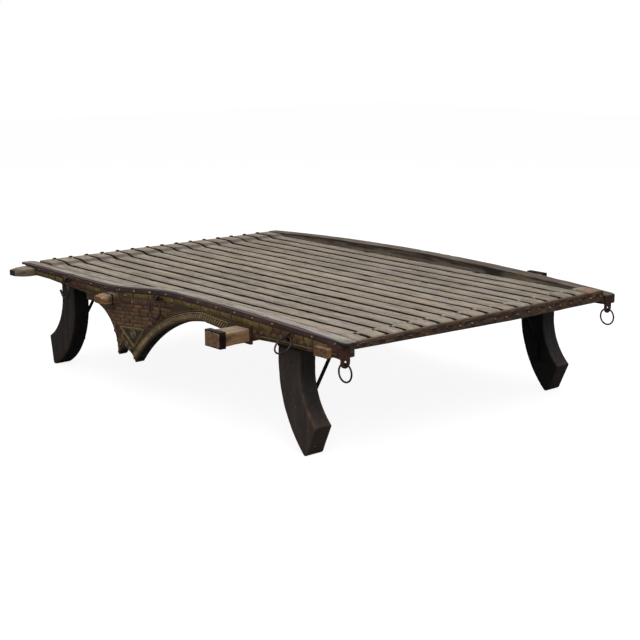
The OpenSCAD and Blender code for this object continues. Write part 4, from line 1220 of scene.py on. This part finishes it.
# ---------------------------------------------------------------- ironwork
def paint_nodes():
    N = frame["nodes"]

    def put(node, mat, bev=0.0, seg=2):
        o = N[node]
        o.data.materials.clear()
        o.data.materials.append(mat)
        for p in o.data.polygons:
            p.use_smooth = True
        o.data.set_sharp_from_angle(angle=math.radians(35))
        if bev:
            b = o.modifiers.new("edges", "BEVEL")
            b.width = bev
            b.segments = seg
            b.limit_method = "ANGLE"
            b.angle_limit = math.radians(40)

    for n in ("strut_front_near", "strut_front_far", "strut_rear_near", "strut_rear_far"):
        put(n, M_BLACK, 0.0012)
    for n in ("bearer_collars", "corner_strap_near", "corner_strap_far"):
        put(n, M_RUST, 0.0012)
    put("bearer_bands", M_IRON, 0.001)
    put("staples", M_IRON)
    for n in ("corner_ring_near", "corner_ring_far", "hook_rear_near", "hook_rear_far",
              "hook_middle_near", "hook_middle_far", "ring_front_near", "ring_front_far"):
        put(n, M_HAND)


# ---------------------------------------------------------------- stage
def make_stage():
    me = bpy.data.meshes.new("floor")
    s = 14.0
    me.from_pydata([(-s, -s, 0), (s, -s, 0), (s, s, 0), (-s, s, 0)], [], [(0, 1, 2, 3)])
    o = bpy.data.objects.new("floor", me)
    bpy.context.scene.collection.objects.link(o)
    m = bpy.data.materials.new("floor_paper")
    m.use_nodes = True
    nt = m.node_tree
    nt.nodes.clear()
    out = nt.nodes.new("ShaderNodeOutputMaterial")
    lp = nt.nodes.new("ShaderNodeLightPath")
    n = tex_noise(nt, coords(nt, (2, 2, 2)), 1.0, 2, 0.5)
    seen = nt.nodes.new("ShaderNodeBsdfDiffuse")
    nt.links.new(mixrgb(nt, "MIX", remap(nt, n, 0.3, 0.7, 0.0, 1.0), (0.26, 0.26, 0.26), (0.27, 0.27, 0.27)), seen.inputs[0])
    glow = nt.nodes.new("ShaderNodeEmission")
    glow.inputs[1].default_value = 0.875
    add = nt.nodes.new("ShaderNodeAddShader")
    nt.links.new(seen.outputs[0], add.inputs[0])
    nt.links.new(glow.outputs[0], add.inputs[1])
    dull = nt.nodes.new("ShaderNodeBsdfDiffuse")
    dull.inputs[0].default_value = (0.12, 0.12, 0.12, 1)
    mx = nt.nodes.new("ShaderNodeMixShader")
    nt.links.new(lp.outputs["Is Camera Ray"], mx.inputs[0])
    nt.links.new(dull.outputs[0], mx.inputs[1])
    nt.links.new(add.outputs[0], mx.inputs[2])
    nt.links.new(mx.outputs[0], out.inputs[0])
    me.materials.append(m)
    w = bpy.data.worlds.new("studio")
    bpy.context.scene.world = w
    w.use_nodes = True
    wt = w.node_tree
    bg = wt.nodes["Background"]
    bg.inputs[0].default_value = (1.0, 1.0, 1.0, 1)
    bg.inputs[1].default_value = 0.42
    white = wt.nodes.new("ShaderNodeBackground")
    white.inputs[0].default_value = (1.0, 1.0, 1.0, 1)
    white.inputs[1].default_value = 1.0
    wl = wt.nodes.new("ShaderNodeLightPath")
    wm = wt.nodes.new("ShaderNodeMixShader")
    wt.links.new(wl.outputs["Is Camera Ray"], wm.inputs[0])
    wt.links.new(bg.outputs[0], wm.inputs[1])
    wt.links.new(white.outputs[0], wm.inputs[2])
    wt.links.new(wm.outputs[0], wt.nodes["World Output"].inputs[0])

    def area(name, loc, target, size, power):
        L = bpy.data.lights.new(name, "AREA")
        L.shape = "SQUARE"
        L.size = size
        L.energy = power
        ob = bpy.data.objects.new(name, L)
        bpy.context.scene.collection.objects.link(ob)
        ob.location = loc
        d = np.array(target, float) - np.array(loc, float)
        from mathutils import Vector
        ob.rotation_euler = Vector(d).to_track_quat("-Z", "Y").to_euler()

    area("key", (3.0, -2.2, 3.4), (0, 0, 0.3), 3.0, 95)
    area("top", (-0.8, 0.8, 4.2), (0, 0, 0.3), 3.5, 95)
    bpy.context.scene.view_settings.view_transform = "Standard"


def make_camera():
    from mathutils import Matrix
    yaw, pitch = math.radians(49.095), math.radians(12.543)
    back = np.array([math.sin(yaw) * math.cos(pitch), -math.cos(yaw) * math.cos(pitch), math.sin(pitch)])
    right = np.array([math.cos(yaw), math.sin(yaw), 0.0])
    up = np.cross(back, right)
    cam = bpy.data.cameras.new("camera")
    cam.sensor_width = 36
    cam.lens = 74.04
    cam.clip_end = 100
    o = bpy.data.objects.new("camera", cam)
    bpy.context.scene.collection.objects.link(o)
    m = Matrix.Identity(4)
    for i in range(3):
        m[i][0], m[i][1], m[i][2] = right[i], up[i], back[i]
    m[0][3], m[1][3], m[2][3] = 3.84705, -3.2496, 1.35153
    o.matrix_world = m
    bpy.context.scene.camera = o


make_camera()
make_stage()
make_deck()
for sd, nm in ((-1, "near"), (1, "far")):
    make_side(sd, "side_board_" + nm)
    make_carving(sd, "carving_" + nm)
    make_studs(sd, "studs_" + nm)
    make_cap(sd, "cap_strip_" + nm, "rail_cap_" + nm)
make_cross()
make_fascia()
make_legs()
paint_nodes()
